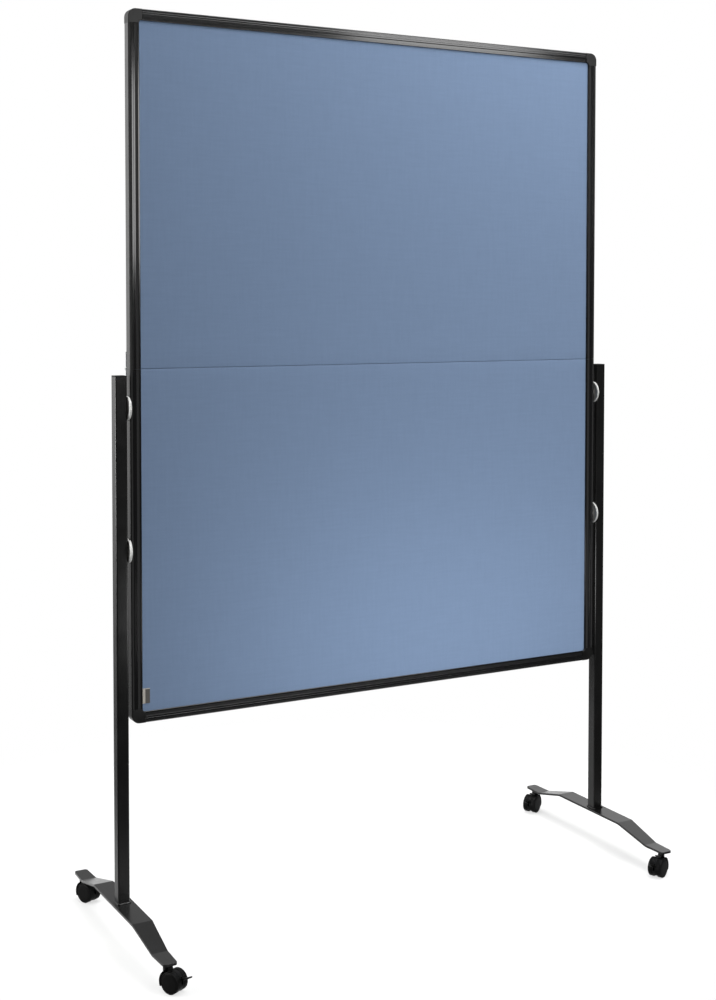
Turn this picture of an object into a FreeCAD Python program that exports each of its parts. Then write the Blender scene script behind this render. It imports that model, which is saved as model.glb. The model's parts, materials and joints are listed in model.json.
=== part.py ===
import FreeCAD
import Part
import Sketcher
import operator
import os
import types

# A mobile presentation pinboard: a fabric-faced board that folds in half, clamped between two posts
# on castored feet. Millimetres, +X right, +Y to the back, +Z up, origin on the floor midway between the posts.

SIZES = (
    ("board_width", 1200.0, "outer width of the board"),
    ("board_height", 1500.0, "outer height of the board, both halves"),
    ("board_base_height", 465.0, "floor to the board's lower edge"),
    ("fold_gap", 0.3, "hairline between the two halves"),
    ("profile_width", 24.0, "frame profile, seen from the front"),
    ("profile_depth", 26.8, "frame profile, front to back over the ridges"),
    ("profile_wall", 2.0, "walls of the profile's chamber"),
    ("slot_depth", 15.0, "how far the panel sits in the profile"),
    ("strip_setback", 1.2, "outer strip and inner lip behind the ridge"),
    ("edge_break", 2.0, "bevel on the profile's outer edges"),
    ("ridge_start", 5.5, "outer face to the ridge"),
    ("ridge_width", 9.0, "ridge at its foot"),
    ("ridge_slope", 1.0, "run of the ridge's flanks"),
    ("ridge_notch", 0.7, "width of the notch along the ridge"),
    ("ridge_notch_depth", 0.35, "depth of that notch"),
    ("groove_depth", 2.2, "groove floor behind the ridge"),
    ("lip_width", 3.6, "inner lip beside the fabric"),
    ("lip_break", 0.6, "bevel on the lip"),
    ("core_thickness", 16.0, "pinboard core"),
    ("fabric_thickness", 1.0, "fabric facing"),
    ("fabric_corner", 1.8, "round of the fabric over the seam edge"),
    ("fabric_lap_gap", 0.6, "front and back fabric apart on the seam edge"),
    ("panel_clearance", 0.2, "panel in the profile's slot"),
    ("batten_height", 30.0, "batten along the seam"),
    ("catch_radius", 6.0, "catch magnet and strike plate"),
    ("catch_depth", 6.0, "thickness of a catch magnet"),
    ("strike_depth", 3.0, "thickness of a strike plate"),
    ("catch_offset", 300.0, "catch from the middle of the board"),
    ("seat_clearance", 0.05, "pressed or screwed piece in its hole"),
    ("running_clearance", 0.06, "turning piece in its bore"),
    ("cap_arm", 30.0, "corner cap along each side"),
    ("cap_outer_radius", 17.0, "corner cap, outer corner"),
    ("cap_inner_radius", 5.0, "corner cap, inner corner"),
    ("cap_edge_radius", 1.6, "corner cap, front and back edges"),
    ("tenon_length", 25.0, "corner cap tenon in the profile"),
    ("tenon_clearance", 0.15, "tenon in the profile's chamber"),
    ("leaf_width", 20.0, "hinge leaf along its pin"),
    ("leaf_height", 36.0, "hinge leaf from its pin"),
    ("leaf_thickness", 2.0, "hinge leaf"),
    ("barrel_radius", 3.5, "hinge knuckle"),
    ("barrel_offset", 0.4, "hinge knuckle off the frame"),
    ("knuckle_clearance", 0.4, "between neighbouring knuckles"),
    ("pin_radius", 2.0, "hinge pin"),
    ("hinge_screw_radius", 2.0, "hinge screw"),
    ("hinge_screw_head", 1.7, "height of its countersunk head"),
    ("hinge_screw_engagement", 3.5, "hinge screw in the profile"),
    ("hinge_screw_first", 12.0, "first hinge screw from the pin"),
    ("hinge_screw_pitch", 16.0, "second hinge screw from the first"),
    ("post_size", 26.0, "side of the square post"),
    ("post_wall", 2.0, "wall of the post"),
    ("post_corner_radius", 3.0, "round of the post's edges"),
    ("post_gap", 6.8, "board's side to the post"),
    ("post_top_drop", 13.0, "fold line to the top of the post's plug"),
    ("plug_head", 2.5, "visible head of the post's plug"),
    ("plug_length", 14.0, "plug inside the post"),
    ("plug_clearance", 0.2, "plug in the post"),
    ("weld_leg", 3.0, "leg of the weld bead round the post"),
    ("clamp_drop", 69.0, "top of the plug to the upper thumb screw"),
    ("clamp_pitch", 301.0, "upper to lower thumb screw"),
    ("stud_radius", 4.0, "thumb screw's stud"),
    ("stud_reach", 6.0, "stud in the frame"),
    ("collar_radius", 6.5, "flanges and end collar on the stud"),
    ("flange_thickness", 0.5, "flange of an insert or bush"),
    ("insert_radius", 5.4, "threaded insert in the frame"),
    ("insert_length", 4.6, "threaded insert behind the frame's face"),
    ("bush_radius", 5.6, "bush in the post's inner wall"),
    ("bush_tail", 2.0, "bush beyond the post's wall"),
    ("collar_thickness", 1.5, "end collar on the stud"),
    ("thumb_radius", 26.0, "thumb wheel"),
    ("thumb_clearance", 0.3, "thumb wheel to the flanges beside it"),
    ("thumb_rim", 4.0, "rim of the thumb wheel"),
    ("thumb_boss", 9.0, "boss of the thumb wheel"),
    ("thumb_dish", 1.2, "dish in the thumb wheel's faces"),
    ("thumb_bevel", 0.8, "bevel on the rim"),
    ("knurl_radius", 1.1, "knurl notch in the rim"),
    ("foot_length", 570.0, "foot plate, front to back"),
    ("foot_thickness", 5.0, "foot plate"),
    ("foot_rise", 24.8, "middle of the plate above its ends"),
    ("foot_inner_bend", 123.0, "post to the upper bend"),
    ("foot_outer_bend", 224.0, "post to the lower bend"),
    ("foot_bend_radius", 9.0, "inside of the bends"),
    ("foot_middle_width", 44.0, "plate between the upper bends"),
    ("foot_bend_width", 33.5, "plate at the lower bends"),
    ("foot_end_width", 29.0, "plate at its ends"),
    ("foot_end_radius", 7.0, "corners of the ends"),
    ("castor_setback", 21.0, "castor's stem from the plate's end"),
    ("castor_height", 54.8, "floor to the underside of the plate's end"),
    ("castor_trail", 18.0, "stem to axle"),
    ("stem_radius", 3.0, "castor stem"),
    ("stem_length", 22.0, "stem below the plate"),
    ("stem_flange_radius", 6.5, "stem's shoulder under the plate"),
    ("stem_flange", 2.0, "thickness of that shoulder"),
    ("swivel_clearance", 0.3, "hood under the shoulder"),
    ("wheel_radius", 22.0, "castor wheel"),
    ("wheel_width", 11.5, "tread of one wheel"),
    ("wheel_gap", 10.0, "between the two wheels"),
    ("wheel_bevel", 1.2, "bevel on the tread's edges"),
    ("wheel_face_ring", 19.0, "ring line on the wheel's outer face"),
    ("wheel_ring_depth", 0.6, "depth of that face inside the ring"),
    ("axle_radius", 2.5, "castor axle"),
    ("axle_engagement", 8.5, "axle in each wheel"),
    ("axle_end_clearance", 0.3, "axle's end to the bottom of its bore"),
    ("hood_side_clearance", 0.5, "hood to each wheel"),
    ("hood_radius", 21.6, "hood round the axle"),
    ("hood_floor_clearance", 7.0, "floor to the hood"),
    ("neck_half_width", 7.5, "hood's neck, fore and aft of the stem"),
    ("neck_boss_radius", 6.8, "boss round the stem"),
    ("neck_boss_height", 11.0, "height of that boss"),
    ("guard_clearance", 2.5, "guard in front of the wheels' treads"),
    ("guard_thickness", 2.2, "wall of that guard"),
    ("guard_width", 30.0, "guard along the axle"),
    ("guard_drop", 10.0, "guard's lower edge below the axle"),
    ("guard_end", 2.0, "guard's upper edge behind the stem"),
    ("lever_pivot_trail", 12.0, "axle to the lever's pivot, along the trail"),
    ("lever_pivot_rise", 5.0, "axle to the lever's pivot, upward"),
    ("lever_width", 4.0, "brake lever"),
    ("lever_reach", 33.0, "pivot to the lever's tip"),
    ("lever_tail", 5.0, "lever behind its pivot"),
    ("lever_depth", 3.5, "lever above and below its pivot"),
    ("lever_tip", 1.6, "thickness of the lever's tip"),
    ("lever_lift", 15.4, "tip above the pivot"),
    ("lever_slot_room", 2.5, "slot behind the lever"),
    ("lever_head_room", 3.5, "slot above the lever"),
    ("lever_travel_room", 8.0, "slot under the lever"),
    ("lever_side_clearance", 0.3, "lever in its slot"),
    ("lever_pin_radius", 1.5, "lever's trunnions"),
    ("lever_pin_reach", 1.2, "trunnion in each cheek"),
    ("front_left_swivel", -62.0, "swivel angle of the castor, degrees"),
    ("rear_left_swivel", -66.0, "swivel angle of the castor, degrees"),
    ("front_right_swivel", -155.4, "swivel angle of the castor, degrees"),
    ("rear_right_swivel", -151.2, "swivel angle of the castor, degrees"),
    ("tab_width", 16.0, "plain tab on the fabric's edge"),
    ("tab_height", 32.0, "height of that tab"),
    ("tab_thickness", 0.8, "thickness of that tab"),
    ("tab_lift", 16.5, "tab above the fabric's lower edge"),
)

KNURL_COUNT = 40
OPERATIONS = {"+": operator.add, "-": operator.sub, "*": operator.mul, "/": operator.truediv}


class Size:
    """A number together with the spreadsheet formula that gives it."""

    def __init__(self, value, formula):
        self.value = value
        self.formula = formula

    def __add__(self, other):
        return combine(self, "+", other)

    def __radd__(self, other):
        return combine(other, "+", self)

    def __sub__(self, other):
        return combine(self, "-", other)

    def __rsub__(self, other):
        return combine(other, "-", self)

    def __mul__(self, other):
        return combine(self, "*", other)

    def __rmul__(self, other):
        return combine(other, "*", self)

    def __truediv__(self, other):
        return combine(self, "/", other)

    def __neg__(self):
        return combine(-1, "*", self)


def as_size(number):
    """A plain number counts as a size of its own."""
    return number if isinstance(number, Size) else Size(number, str(number))


def combine(left, sign, right):
    """Work out both the number and the formula of one operation."""
    left = as_size(left)
    right = as_size(right)
    return Size(OPERATIONS[sign](left.value, right.value), f"({left.formula} {sign} {right.formula})")


doc = FreeCAD.newDocument("Pinboard")
sheet = doc.addObject("Spreadsheet::Sheet", "Dims")
for row, (alias, number, meaning) in enumerate(SIZES, start=1):
    sheet.set(f"A{row}", alias)
    sheet.set(f"B{row}", str(number))
    sheet.set(f"C{row}", meaning)
    sheet.setAlias(f"B{row}", alias)
doc.recompute()
dim = types.SimpleNamespace(**{alias: Size(number, f"Dims.{alias}") for alias, number, meaning in SIZES})

X_AXIS = FreeCAD.Vector(1, 0, 0)
Y_AXIS = FreeCAD.Vector(0, 1, 0)
Z_AXIS = FreeCAD.Vector(0, 0, 1)
TOLERANCE = 1e-4

subparts = []


# Places and sizes that several pieces share
fold_height = dim.board_base_height + dim.board_height / 2
half_board = dim.board_width / 2
half_depth = dim.profile_depth / 2
slot_bottom = dim.profile_width - dim.slot_depth
half_slot = dim.core_thickness / 2 + dim.fabric_thickness + dim.panel_clearance
half_chamber = half_depth - dim.strip_setback - dim.profile_wall
chamber_end = slot_bottom - dim.profile_wall
ridge_middle = dim.ridge_start + dim.ridge_width / 2
profile_run = dim.board_height / 2 - dim.cap_arm - dim.fold_gap / 2
panel_half_width = half_board - slot_bottom - dim.panel_clearance
panel_bottom = dim.board_base_height + slot_bottom + dim.panel_clearance
panel_top = fold_height - dim.fold_gap / 2
batten_top = panel_top - dim.fabric_thickness
batten_bottom = batten_top - dim.batten_height
half_core = dim.core_thickness / 2
fabric_face = half_core + dim.fabric_thickness
hinge_axis_y = half_depth + dim.barrel_offset + dim.barrel_radius
hinge_x = ridge_middle - half_board
hinge_screw_drops = (dim.hinge_screw_first, dim.hinge_screw_first + dim.hinge_screw_pitch)
foot_end_top = dim.castor_height + dim.foot_thickness
foot_top = foot_end_top + dim.foot_rise
post_x = half_board + dim.post_gap + dim.post_size / 2
plug_top = fold_height - dim.post_top_drop
post_top = plug_top - dim.plug_head
clamp_heights = {"upper": plug_top - dim.clamp_drop, "lower": plug_top - dim.clamp_drop - dim.clamp_pitch}
castor_y = dim.foot_length / 2 - dim.castor_setback
axle_span = dim.wheel_gap / 2 + dim.axle_engagement - dim.axle_end_clearance
half_hood = dim.wheel_gap / 2 - dim.hood_side_clearance
neck_top = dim.castor_height - dim.stem_flange - dim.swivel_clearance
pivot_x = dim.castor_trail + dim.lever_pivot_trail
pivot_z = dim.wheel_radius + dim.lever_pivot_rise


def bind(thing, path, size):
    """Tie a property to the spreadsheet."""
    thing.setExpression(path, as_size(size).formula)


def place(thing, x=0, y=0, z=0, axis=Z_AXIS, angle=0):
    """Put a piece in its place, tied to the spreadsheet."""
    turn = as_size(angle)
    thing.Placement = FreeCAD.Placement(FreeCAD.Vector(), FreeCAD.Rotation(axis, turn.value))
    if isinstance(angle, Size):
        bind(thing, "Placement.Rotation.Angle", angle)
    for letter, size in (("x", x), ("y", y), ("z", z)):
        bind(thing, f"Placement.Base.{letter}", size)


def publish(thing, label):
    """Name a finished piece as one node of the assembly."""
    thing.Label = label
    subparts.append(thing)
    return thing


def new_body(name):
    return doc.addObject("PartDesign::Body", name)


def new_sketch(body, role, offset=0):
    """A sketch on one of the body's own origin planes, shifted along its normal."""
    plane = next(feature for feature in body.Origin.OriginFeatures if feature.Role == role)
    sketch = body.newObject("Sketcher::SketchObject", body.Name + "Sketch")
    sketch.AttachmentSupport = [(plane, "")]
    sketch.MapMode = "FlatFace"
    bind(sketch, "AttachmentOffset.Base.z", offset)
    return sketch


def pin_point(sketch, geometry, position, x, y):
    """Fix one point of a sketch to the spreadsheet."""
    for kind, axis, size in (("DistanceX", -2, as_size(x)), ("DistanceY", -1, as_size(y))):
        if abs(size.value) < TOLERANCE:
            sketch.addConstraint(Sketcher.Constraint("PointOnObject", geometry, position, axis))
        else:
            index = sketch.addConstraint(Sketcher.Constraint(kind, -1, 1, geometry, position, size.value))
            bind(sketch, f"Constraints[{index}]", size)


def draw_outline(sketch, points):
    """A closed outline of straight lines."""
    first = sketch.GeometryCount
    vectors = [FreeCAD.Vector(as_size(x).value, as_size(y).value, 0) for x, y in points]
    for start, end in zip(vectors, vectors[1:] + vectors[:1]):
        sketch.addGeometry(Part.LineSegment(start, end))
    for index, (x, y) in enumerate(points):
        follower = first + (index + 1) % len(points)
        sketch.addConstraint(Sketcher.Constraint("Coincident", first + index, 2, follower, 1))
        pin_point(sketch, first + index, 1, x, y)


def draw_rectangle(sketch, left, right, low, high):
    draw_outline(sketch, [(left, low), (right, low), (right, high), (left, high)])


def draw_circle(sketch, x, y, radius):
    centre = FreeCAD.Vector(as_size(x).value, as_size(y).value, 0)
    index = sketch.addGeometry(Part.Circle(centre, Z_AXIS, as_size(radius).value))
    pin_point(sketch, index, 3, x, y)
    constraint = sketch.addConstraint(Sketcher.Constraint("Radius", index, as_size(radius).value))
    bind(sketch, f"Constraints[{constraint}]", radius)


def add_feature(body, kind, sketch, length, symmetric, reverse):
    feature = body.newObject("PartDesign::" + kind, body.Name + kind)
    feature.Profile = sketch
    feature.SideType = "Symmetric" if symmetric else "One side"
    feature.Reversed = reverse
    bind(feature, "Length", length)
    sketch.Visibility = False
    return feature


def pad(body, sketch, length, symmetric=False, backward=False):
    """Extrude along the sketch plane's normal, or against it."""
    return add_feature(body, "Pad", sketch, length, symmetric, backward)


def pocket(body, sketch, length, symmetric=False, backward=False):
    """Cut along the sketch plane's normal, or against it."""
    return add_feature(body, "Pocket", sketch, length, symmetric, not backward)


def revolve(body, sketch, axis_role):
    feature = body.newObject("PartDesign::Revolution", body.Name + "Revolution")
    feature.Profile = sketch
    axis = next(entry for entry in body.Origin.OriginFeatures if entry.Role == axis_role)
    feature.ReferenceAxis = (axis, [""])
    feature.Angle = 360
    sketch.Visibility = False
    return feature


def dress_edges(body, kind, size, wanted):
    """Round or bevel the edges of the newest feature that the test picks out."""
    doc.recompute()
    base = body.Tip
    edges = [f"Edge{index}" for index, edge in enumerate(base.Shape.Edges, start=1) if wanted(edge)]
    if not edges:
        raise RuntimeError(f"{body.Name}: no edge to dress")
    feature = body.newObject("PartDesign::" + kind, body.Name + kind)
    feature.Base = (base, edges)
    bind(feature, "Radius" if kind == "Fillet" else "Size", size)
    return feature


def near(number, size):
    return abs(number - as_size(size).value) < TOLERANCE


def along(edge, direction):
    """True for a straight edge that runs along the direction."""
    if not isinstance(edge.Curve, Part.Line):
        return False
    return abs(abs(edge.Curve.Direction.dot(direction)) - 1) < TOLERANCE


def mirrored(source, name, normal=X_AXIS, height=0):
    """A mirror image, across the middle of the board or across the fold line."""
    copy = doc.addObject("Part::Mirroring", name)
    copy.Source = source
    copy.Normal = normal
    bind(copy, "Base.z", height)
    return copy


def group(name, members):
    compound = doc.addObject("Part::Compound", name)
    compound.Links = members
    return compound


def pair(source, label):
    """A piece and its twin on the other side of the board, as one node."""
    return publish(group(label, [source, mirrored(source, label + "_twin")]), label)


def box(name, size_x, size_y, size_z, x, y, z):
    block = doc.addObject("Part::Box", name)
    bind(block, "Length", size_x)
    bind(block, "Width", size_y)
    bind(block, "Height", size_z)
    place(block, x, y, z)
    return block


def cylinder(name, radius, height, x, y, z, axis=Z_AXIS, angle=0):
    rod = doc.addObject("Part::Cylinder", name)
    bind(rod, "Radius", radius)
    bind(rod, "Height", height)
    place(rod, x, y, z, axis, angle)
    return rod


# Frame profile: x runs in from the board's outer edge, y through its depth, z along the profile
def draw_profile_section(sketch):
    strip = half_depth - dim.strip_setback
    ridge_end = dim.ridge_start + dim.ridge_width
    lip_start = dim.profile_width - dim.lip_width
    back = [
        (0, strip - dim.edge_break),
        (dim.edge_break, strip),
        (dim.ridge_start, strip),
        (dim.ridge_start + dim.ridge_slope, half_depth),
        (ridge_middle - dim.ridge_notch / 2, half_depth),
        (ridge_middle, half_depth - dim.ridge_notch_depth),
        (ridge_middle + dim.ridge_notch / 2, half_depth),
        (ridge_end - dim.ridge_slope, half_depth),
        (ridge_end, half_depth - dim.groove_depth),
        (lip_start, half_depth - dim.groove_depth),
        (lip_start, strip),
        (dim.profile_width - dim.lip_break, strip),
        (dim.profile_width, strip - dim.lip_break),
        (dim.profile_width, half_slot),
        (slot_bottom, half_slot),
    ]
    front = [(x, -y) for x, y in reversed(back)]
    draw_outline(sketch, back + front)
    draw_rectangle(sketch, dim.profile_wall, chamber_end, -half_chamber, half_chamber)


def profile_body(name, length):
    body = new_body(name)
    sketch = new_sketch(body, "XY_Plane")
    draw_profile_section(sketch)
    pad(body, sketch, length)
    return body


def tap_hinge_holes(body, fold_end, away):
    """Tapped holes in the back ridge for the hinge screws, measured from the end at the fold."""
    sketch = new_sketch(body, "XZ_Plane", -half_depth)
    for drop in hinge_screw_drops:
        height = fold_end + away * (drop - dim.fold_gap / 2)
        draw_circle(sketch, ridge_middle, height, dim.hinge_screw_radius + dim.seat_clearance)
    pocket(body, sketch, dim.hinge_screw_engagement + dim.seat_clearance)


def bore_insert_holes(body, base):
    """Holes in the profile's outer wall for the threaded inserts."""
    sketch = new_sketch(body, "YZ_Plane")
    for height in clamp_heights.values():
        draw_circle(sketch, 0, height - base, dim.insert_radius + dim.seat_clearance)
    pocket(body, sketch, dim.profile_wall)


def make_frame():
    lower_base = dim.board_base_height + dim.cap_arm
    lower = profile_body("LowerProfile", profile_run)
    tap_hinge_holes(lower, profile_run, -1)
    bore_insert_holes(lower, lower_base)
    place(lower, -half_board, 0, lower_base)
    publish(lower, "lower_left_profile")
    publish(mirrored(lower, "LowerRightProfile"), "lower_right_profile")

    upper = profile_body("UpperProfile", profile_run)
    tap_hinge_holes(upper, as_size(0), 1)
    place(upper, -half_board, 0, fold_height + dim.fold_gap / 2)
    publish(upper, "upper_left_profile")
    publish(mirrored(upper, "UpperRightProfile"), "upper_right_profile")

    cross_run = dim.board_width - 2 * dim.cap_arm
    top = profile_body("TopProfile", cross_run)
    place(top, -cross_run / 2, 0, dim.board_base_height + dim.board_height, Y_AXIS, 90)
    publish(top, "top_profile")
    publish(mirrored(top, "BottomProfile", Z_AXIS, fold_height), "bottom_profile")


# Corner cap: x and z run from the board's outer corner along its two sides
def make_corner_caps():
    arm = dim.cap_arm
    width = dim.profile_width
    body = new_body("CornerCap")
    sketch = new_sketch(body, "XZ_Plane")
    draw_outline(sketch, [(0, 0), (arm, 0), (arm, width), (width, width), (width, arm), (0, arm)])
    pad(body, sketch, dim.profile_depth, symmetric=True)

    def corner_edge(place_of):
        def wanted(edge):
            point = edge.CenterOfMass
            return along(edge, Y_AXIS) and near(point.x, place_of) and near(point.z, place_of)
        return wanted

    dress_edges(body, "Fillet", dim.cap_outer_radius, corner_edge(0))
    dress_edges(body, "Fillet", dim.cap_inner_radius, corner_edge(width))

    def face_edge(edge):
        point = edge.CenterOfMass
        at_joint = near(point.x, arm) or near(point.z, arm)
        return near(abs(point.y), half_depth) and not along(edge, Y_AXIS) and not at_joint

    dress_edges(body, "Fillet", dim.cap_edge_radius, face_edge)

    slot = new_sketch(body, "XZ_Plane")
    draw_rectangle(slot, slot_bottom, arm + width, slot_bottom, arm + width)
    pocket(body, slot, 2 * half_slot, symmetric=True)

    inset = dim.tenon_clearance
    low = dim.profile_wall + inset
    high = chamber_end - inset
    half = half_chamber - inset
    side_tenon = new_sketch(body, "YZ_Plane", arm)
    draw_rectangle(side_tenon, -half, half, low, high)
    pad(body, side_tenon, dim.tenon_length)
    upright_tenon = new_sketch(body, "XY_Plane", arm)
    draw_rectangle(upright_tenon, low, high, -half, half)
    pad(body, upright_tenon, dim.tenon_length)

    place(body, -half_board, 0, dim.board_base_height)
    lower = pair(body, "lower_corner_caps")
    publish(mirrored(lower, "UpperCaps", Z_AXIS, fold_height), "upper_corner_caps")


# Panels: core, batten along the seam, and a fabric that turns over the seam edge on each face
def make_panels():
    core = box("LowerCore", 2 * panel_half_width, dim.core_thickness, batten_bottom - panel_bottom,
               -panel_half_width, -half_core, panel_bottom)
    publish(core, "lower_core")
    publish(mirrored(core, "UpperCore", Z_AXIS, fold_height), "upper_core")

    fabric = new_body("LowerFabric")
    sketch = new_sketch(fabric, "YZ_Plane")
    lap = dim.fabric_lap_gap / 2
    draw_outline(sketch, [
        (-fabric_face, panel_bottom),
        (-half_core, panel_bottom),
        (-half_core, batten_top),
        (-lap, batten_top),
        (-lap, panel_top),
        (-fabric_face, panel_top),
    ])
    pad(fabric, sketch, 2 * panel_half_width, symmetric=True)

    def outer_fold(edge):
        point = edge.CenterOfMass
        return along(edge, X_AXIS) and near(point.y, -fabric_face) and near(point.z, panel_top)

    dress_edges(fabric, "Fillet", dim.fabric_corner, outer_fold)
    publish(fabric, "lower_front_fabric")
    back = publish(mirrored(fabric, "LowerBackFabric", Y_AXIS), "lower_back_fabric")
    publish(mirrored(fabric, "UpperFrontFabric", Z_AXIS, fold_height), "upper_front_fabric")
    publish(mirrored(back, "UpperBackFabric", Z_AXIS, fold_height), "upper_back_fabric")

    tab = box("Tab", dim.tab_width, dim.tab_thickness, dim.tab_height,
              dim.profile_width + dim.panel_clearance - half_board,
              -fabric_face - dim.tab_thickness,
              dim.board_base_height + dim.profile_width + dim.tab_lift)
    publish(tab, "edge_tab")


def batten(name, depth):
    """A batten with round pieces set into its top edge."""
    strip = box(name, 2 * panel_half_width, dim.core_thickness, dim.batten_height,
                -panel_half_width, -half_core, batten_bottom)
    seats = []
    catches = []
    for side, sign in (("Left", -1), ("Right", 1)):
        x = sign * dim.catch_offset
        seat_depth = depth + dim.seat_clearance
        seats.append(cylinder(name + side + "Seat", dim.catch_radius + dim.seat_clearance, seat_depth,
                              x, 0, batten_top - seat_depth))
        catches.append(cylinder(name + side + "Catch", dim.catch_radius, depth, x, 0, batten_top - depth))
    cut = doc.addObject("Part::Cut", name + "Cut")
    cut.Base = strip
    cut.Tool = group(name + "Seats", seats)
    return cut, group(name + "Catches", catches)


def make_battens():
    lower, magnets = batten("LowerBatten", dim.catch_depth)
    publish(lower, "lower_seam_batten")
    publish(magnets, "catch_magnets")
    upper, strikes = batten("UpperBatten", dim.strike_depth)
    publish(mirrored(upper, "UpperBattenTurned", Z_AXIS, fold_height), "upper_seam_batten")
    publish(mirrored(strikes, "StrikesTurned", Z_AXIS, fold_height), "strike_plates")


# Hinge: x along the pin, y out from the frame's back, z from the pin
def hinge_leaf(name, outline, knuckles, away):
    body = new_body(name)
    plate = new_sketch(body, "XZ_Plane")
    draw_outline(plate, outline)
    pad(body, plate, dim.leaf_thickness, backward=True)
    axis_y = hinge_axis_y - half_depth
    for start, length in knuckles:
        knuckle = new_sketch(body, "YZ_Plane", start)
        draw_circle(knuckle, axis_y, 0, dim.barrel_radius)
        pad(body, knuckle, length)
    bore = new_sketch(body, "YZ_Plane")
    draw_circle(bore, axis_y, 0, dim.pin_radius + dim.running_clearance)
    pocket(body, bore, 2 * dim.leaf_width, symmetric=True)
    holes = new_sketch(body, "XZ_Plane")
    for drop in hinge_screw_drops:
        draw_circle(holes, 0, away * drop, dim.hinge_screw_radius + dim.seat_clearance)
    pocket(body, holes, dim.leaf_thickness, backward=True)

    def hole_rim(edge):
        if not isinstance(edge.Curve, Part.Circle):
            return False
        return near(edge.Curve.Center.y, dim.leaf_thickness) and near(edge.Curve.Center.x, 0)

    dress_edges(body, "Chamfer", dim.hinge_screw_head, hole_rim)
    place(body, hinge_x, half_depth, fold_height)
    return body


def hinge_screws(name, away):
    screws = []
    for drop in hinge_screw_drops:
        body = new_body(name)
        sketch = new_sketch(body, "XY_Plane")
        length = dim.leaf_thickness + dim.hinge_screw_engagement
        radius = dim.hinge_screw_radius
        head = radius + dim.hinge_screw_head
        draw_outline(sketch, [(0, 0), (head, 0), (radius, -dim.hinge_screw_head), (radius, -length), (0, -length)])
        revolve(body, sketch, "Y_Axis")
        place(body, hinge_x, half_depth + dim.leaf_thickness, fold_height + away * drop)
        screws.append(body)
    return group(name + "Pair", screws)


def make_hinges():
    half = dim.leaf_width / 2
    knuckle = dim.leaf_width / 3
    inner = knuckle / 2 - dim.knuckle_clearance / 2
    outer = knuckle / 2 + dim.knuckle_clearance / 2
    shoulder = dim.barrel_radius + dim.barrel_offset
    reach = dim.leaf_height
    lower_outline = [
        (-half, -reach), (half, -reach), (half, 0), (outer, 0),
        (outer, -shoulder), (-outer, -shoulder), (-outer, 0), (-half, 0),
    ]
    upper_outline = [
        (-half, reach), (-half, shoulder), (-inner, shoulder), (-inner, 0),
        (inner, 0), (inner, shoulder), (half, shoulder), (half, reach),
    ]
    lower = hinge_leaf("LowerLeaf", lower_outline, [(-half, half - outer), (outer, half - outer)], -1)
    upper = hinge_leaf("UpperLeaf", upper_outline, [(-inner, 2 * inner)], 1)
    pair(lower, "lower_hinge_leaves")
    pair(upper, "upper_hinge_leaves")
    pair(hinge_screws("LowerScrew", -1), "lower_hinge_screws")
    pair(hinge_screws("UpperScrew", 1), "upper_hinge_screws")
    pin = cylinder("HingePin", dim.pin_radius, dim.leaf_width,
                   hinge_x - half, hinge_axis_y, fold_height, Y_AXIS, 90)
    pair(pin, "hinge_pins")


def draw_square(sketch, side):
    half = side / 2
    draw_rectangle(sketch, -half, half, -half, half)


def upright(edge):
    return along(edge, Z_AXIS)


# Posts with their plugs and weld beads: z from the top of the foot plate
def make_posts():
    post = new_body("LeftPost")
    outside = new_sketch(post, "XY_Plane")
    draw_square(outside, dim.post_size)
    height = post_top - foot_top
    pad(post, outside, height)
    dress_edges(post, "Fillet", dim.post_corner_radius, upright)
    inside = new_sketch(post, "XY_Plane")
    bore = dim.post_size - 2 * dim.post_wall
    draw_square(inside, bore)
    pocket(post, inside, height)
    holes = new_sketch(post, "YZ_Plane")
    for clamp_height in clamp_heights.values():
        draw_circle(holes, 0, clamp_height - foot_top, dim.bush_radius + dim.seat_clearance)
    pocket(post, holes, dim.post_size)
    place(post, -post_x, 0, foot_top)
    publish(post, "left_post")
    publish(mirrored(post, "RightPost"), "right_post")

    plug = new_body("PostPlug")
    head = new_sketch(plug, "XY_Plane")
    draw_square(head, dim.post_size)
    pad(plug, head, dim.plug_head)
    dress_edges(plug, "Fillet", dim.post_corner_radius, upright)
    shank = new_sketch(plug, "XY_Plane")
    draw_square(shank, bore - 2 * dim.plug_clearance)
    pad(plug, shank, dim.plug_length, backward=True)
    place(plug, -post_x, 0, post_top)
    pair(plug, "post_end_plugs")

    bead = new_body("WeldBead")
    outer = new_sketch(bead, "XY_Plane")
    draw_square(outer, dim.post_size + 2 * dim.weld_leg)
    pad(bead, outer, dim.weld_leg)
    dress_edges(bead, "Fillet", dim.post_corner_radius + dim.weld_leg / 2, upright)

    def upper_rim(edge):
        return near(edge.CenterOfMass.z, dim.weld_leg)

    dress_edges(bead, "Chamfer", dim.weld_leg * 3 / 4, upper_rim)
    inner = new_sketch(bead, "XY_Plane")
    draw_square(inner, dim.post_size)
    pocket(bead, inner, dim.weld_leg)
    place(bead, -post_x, 0, foot_top)
    pair(bead, "post_welds")


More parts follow.
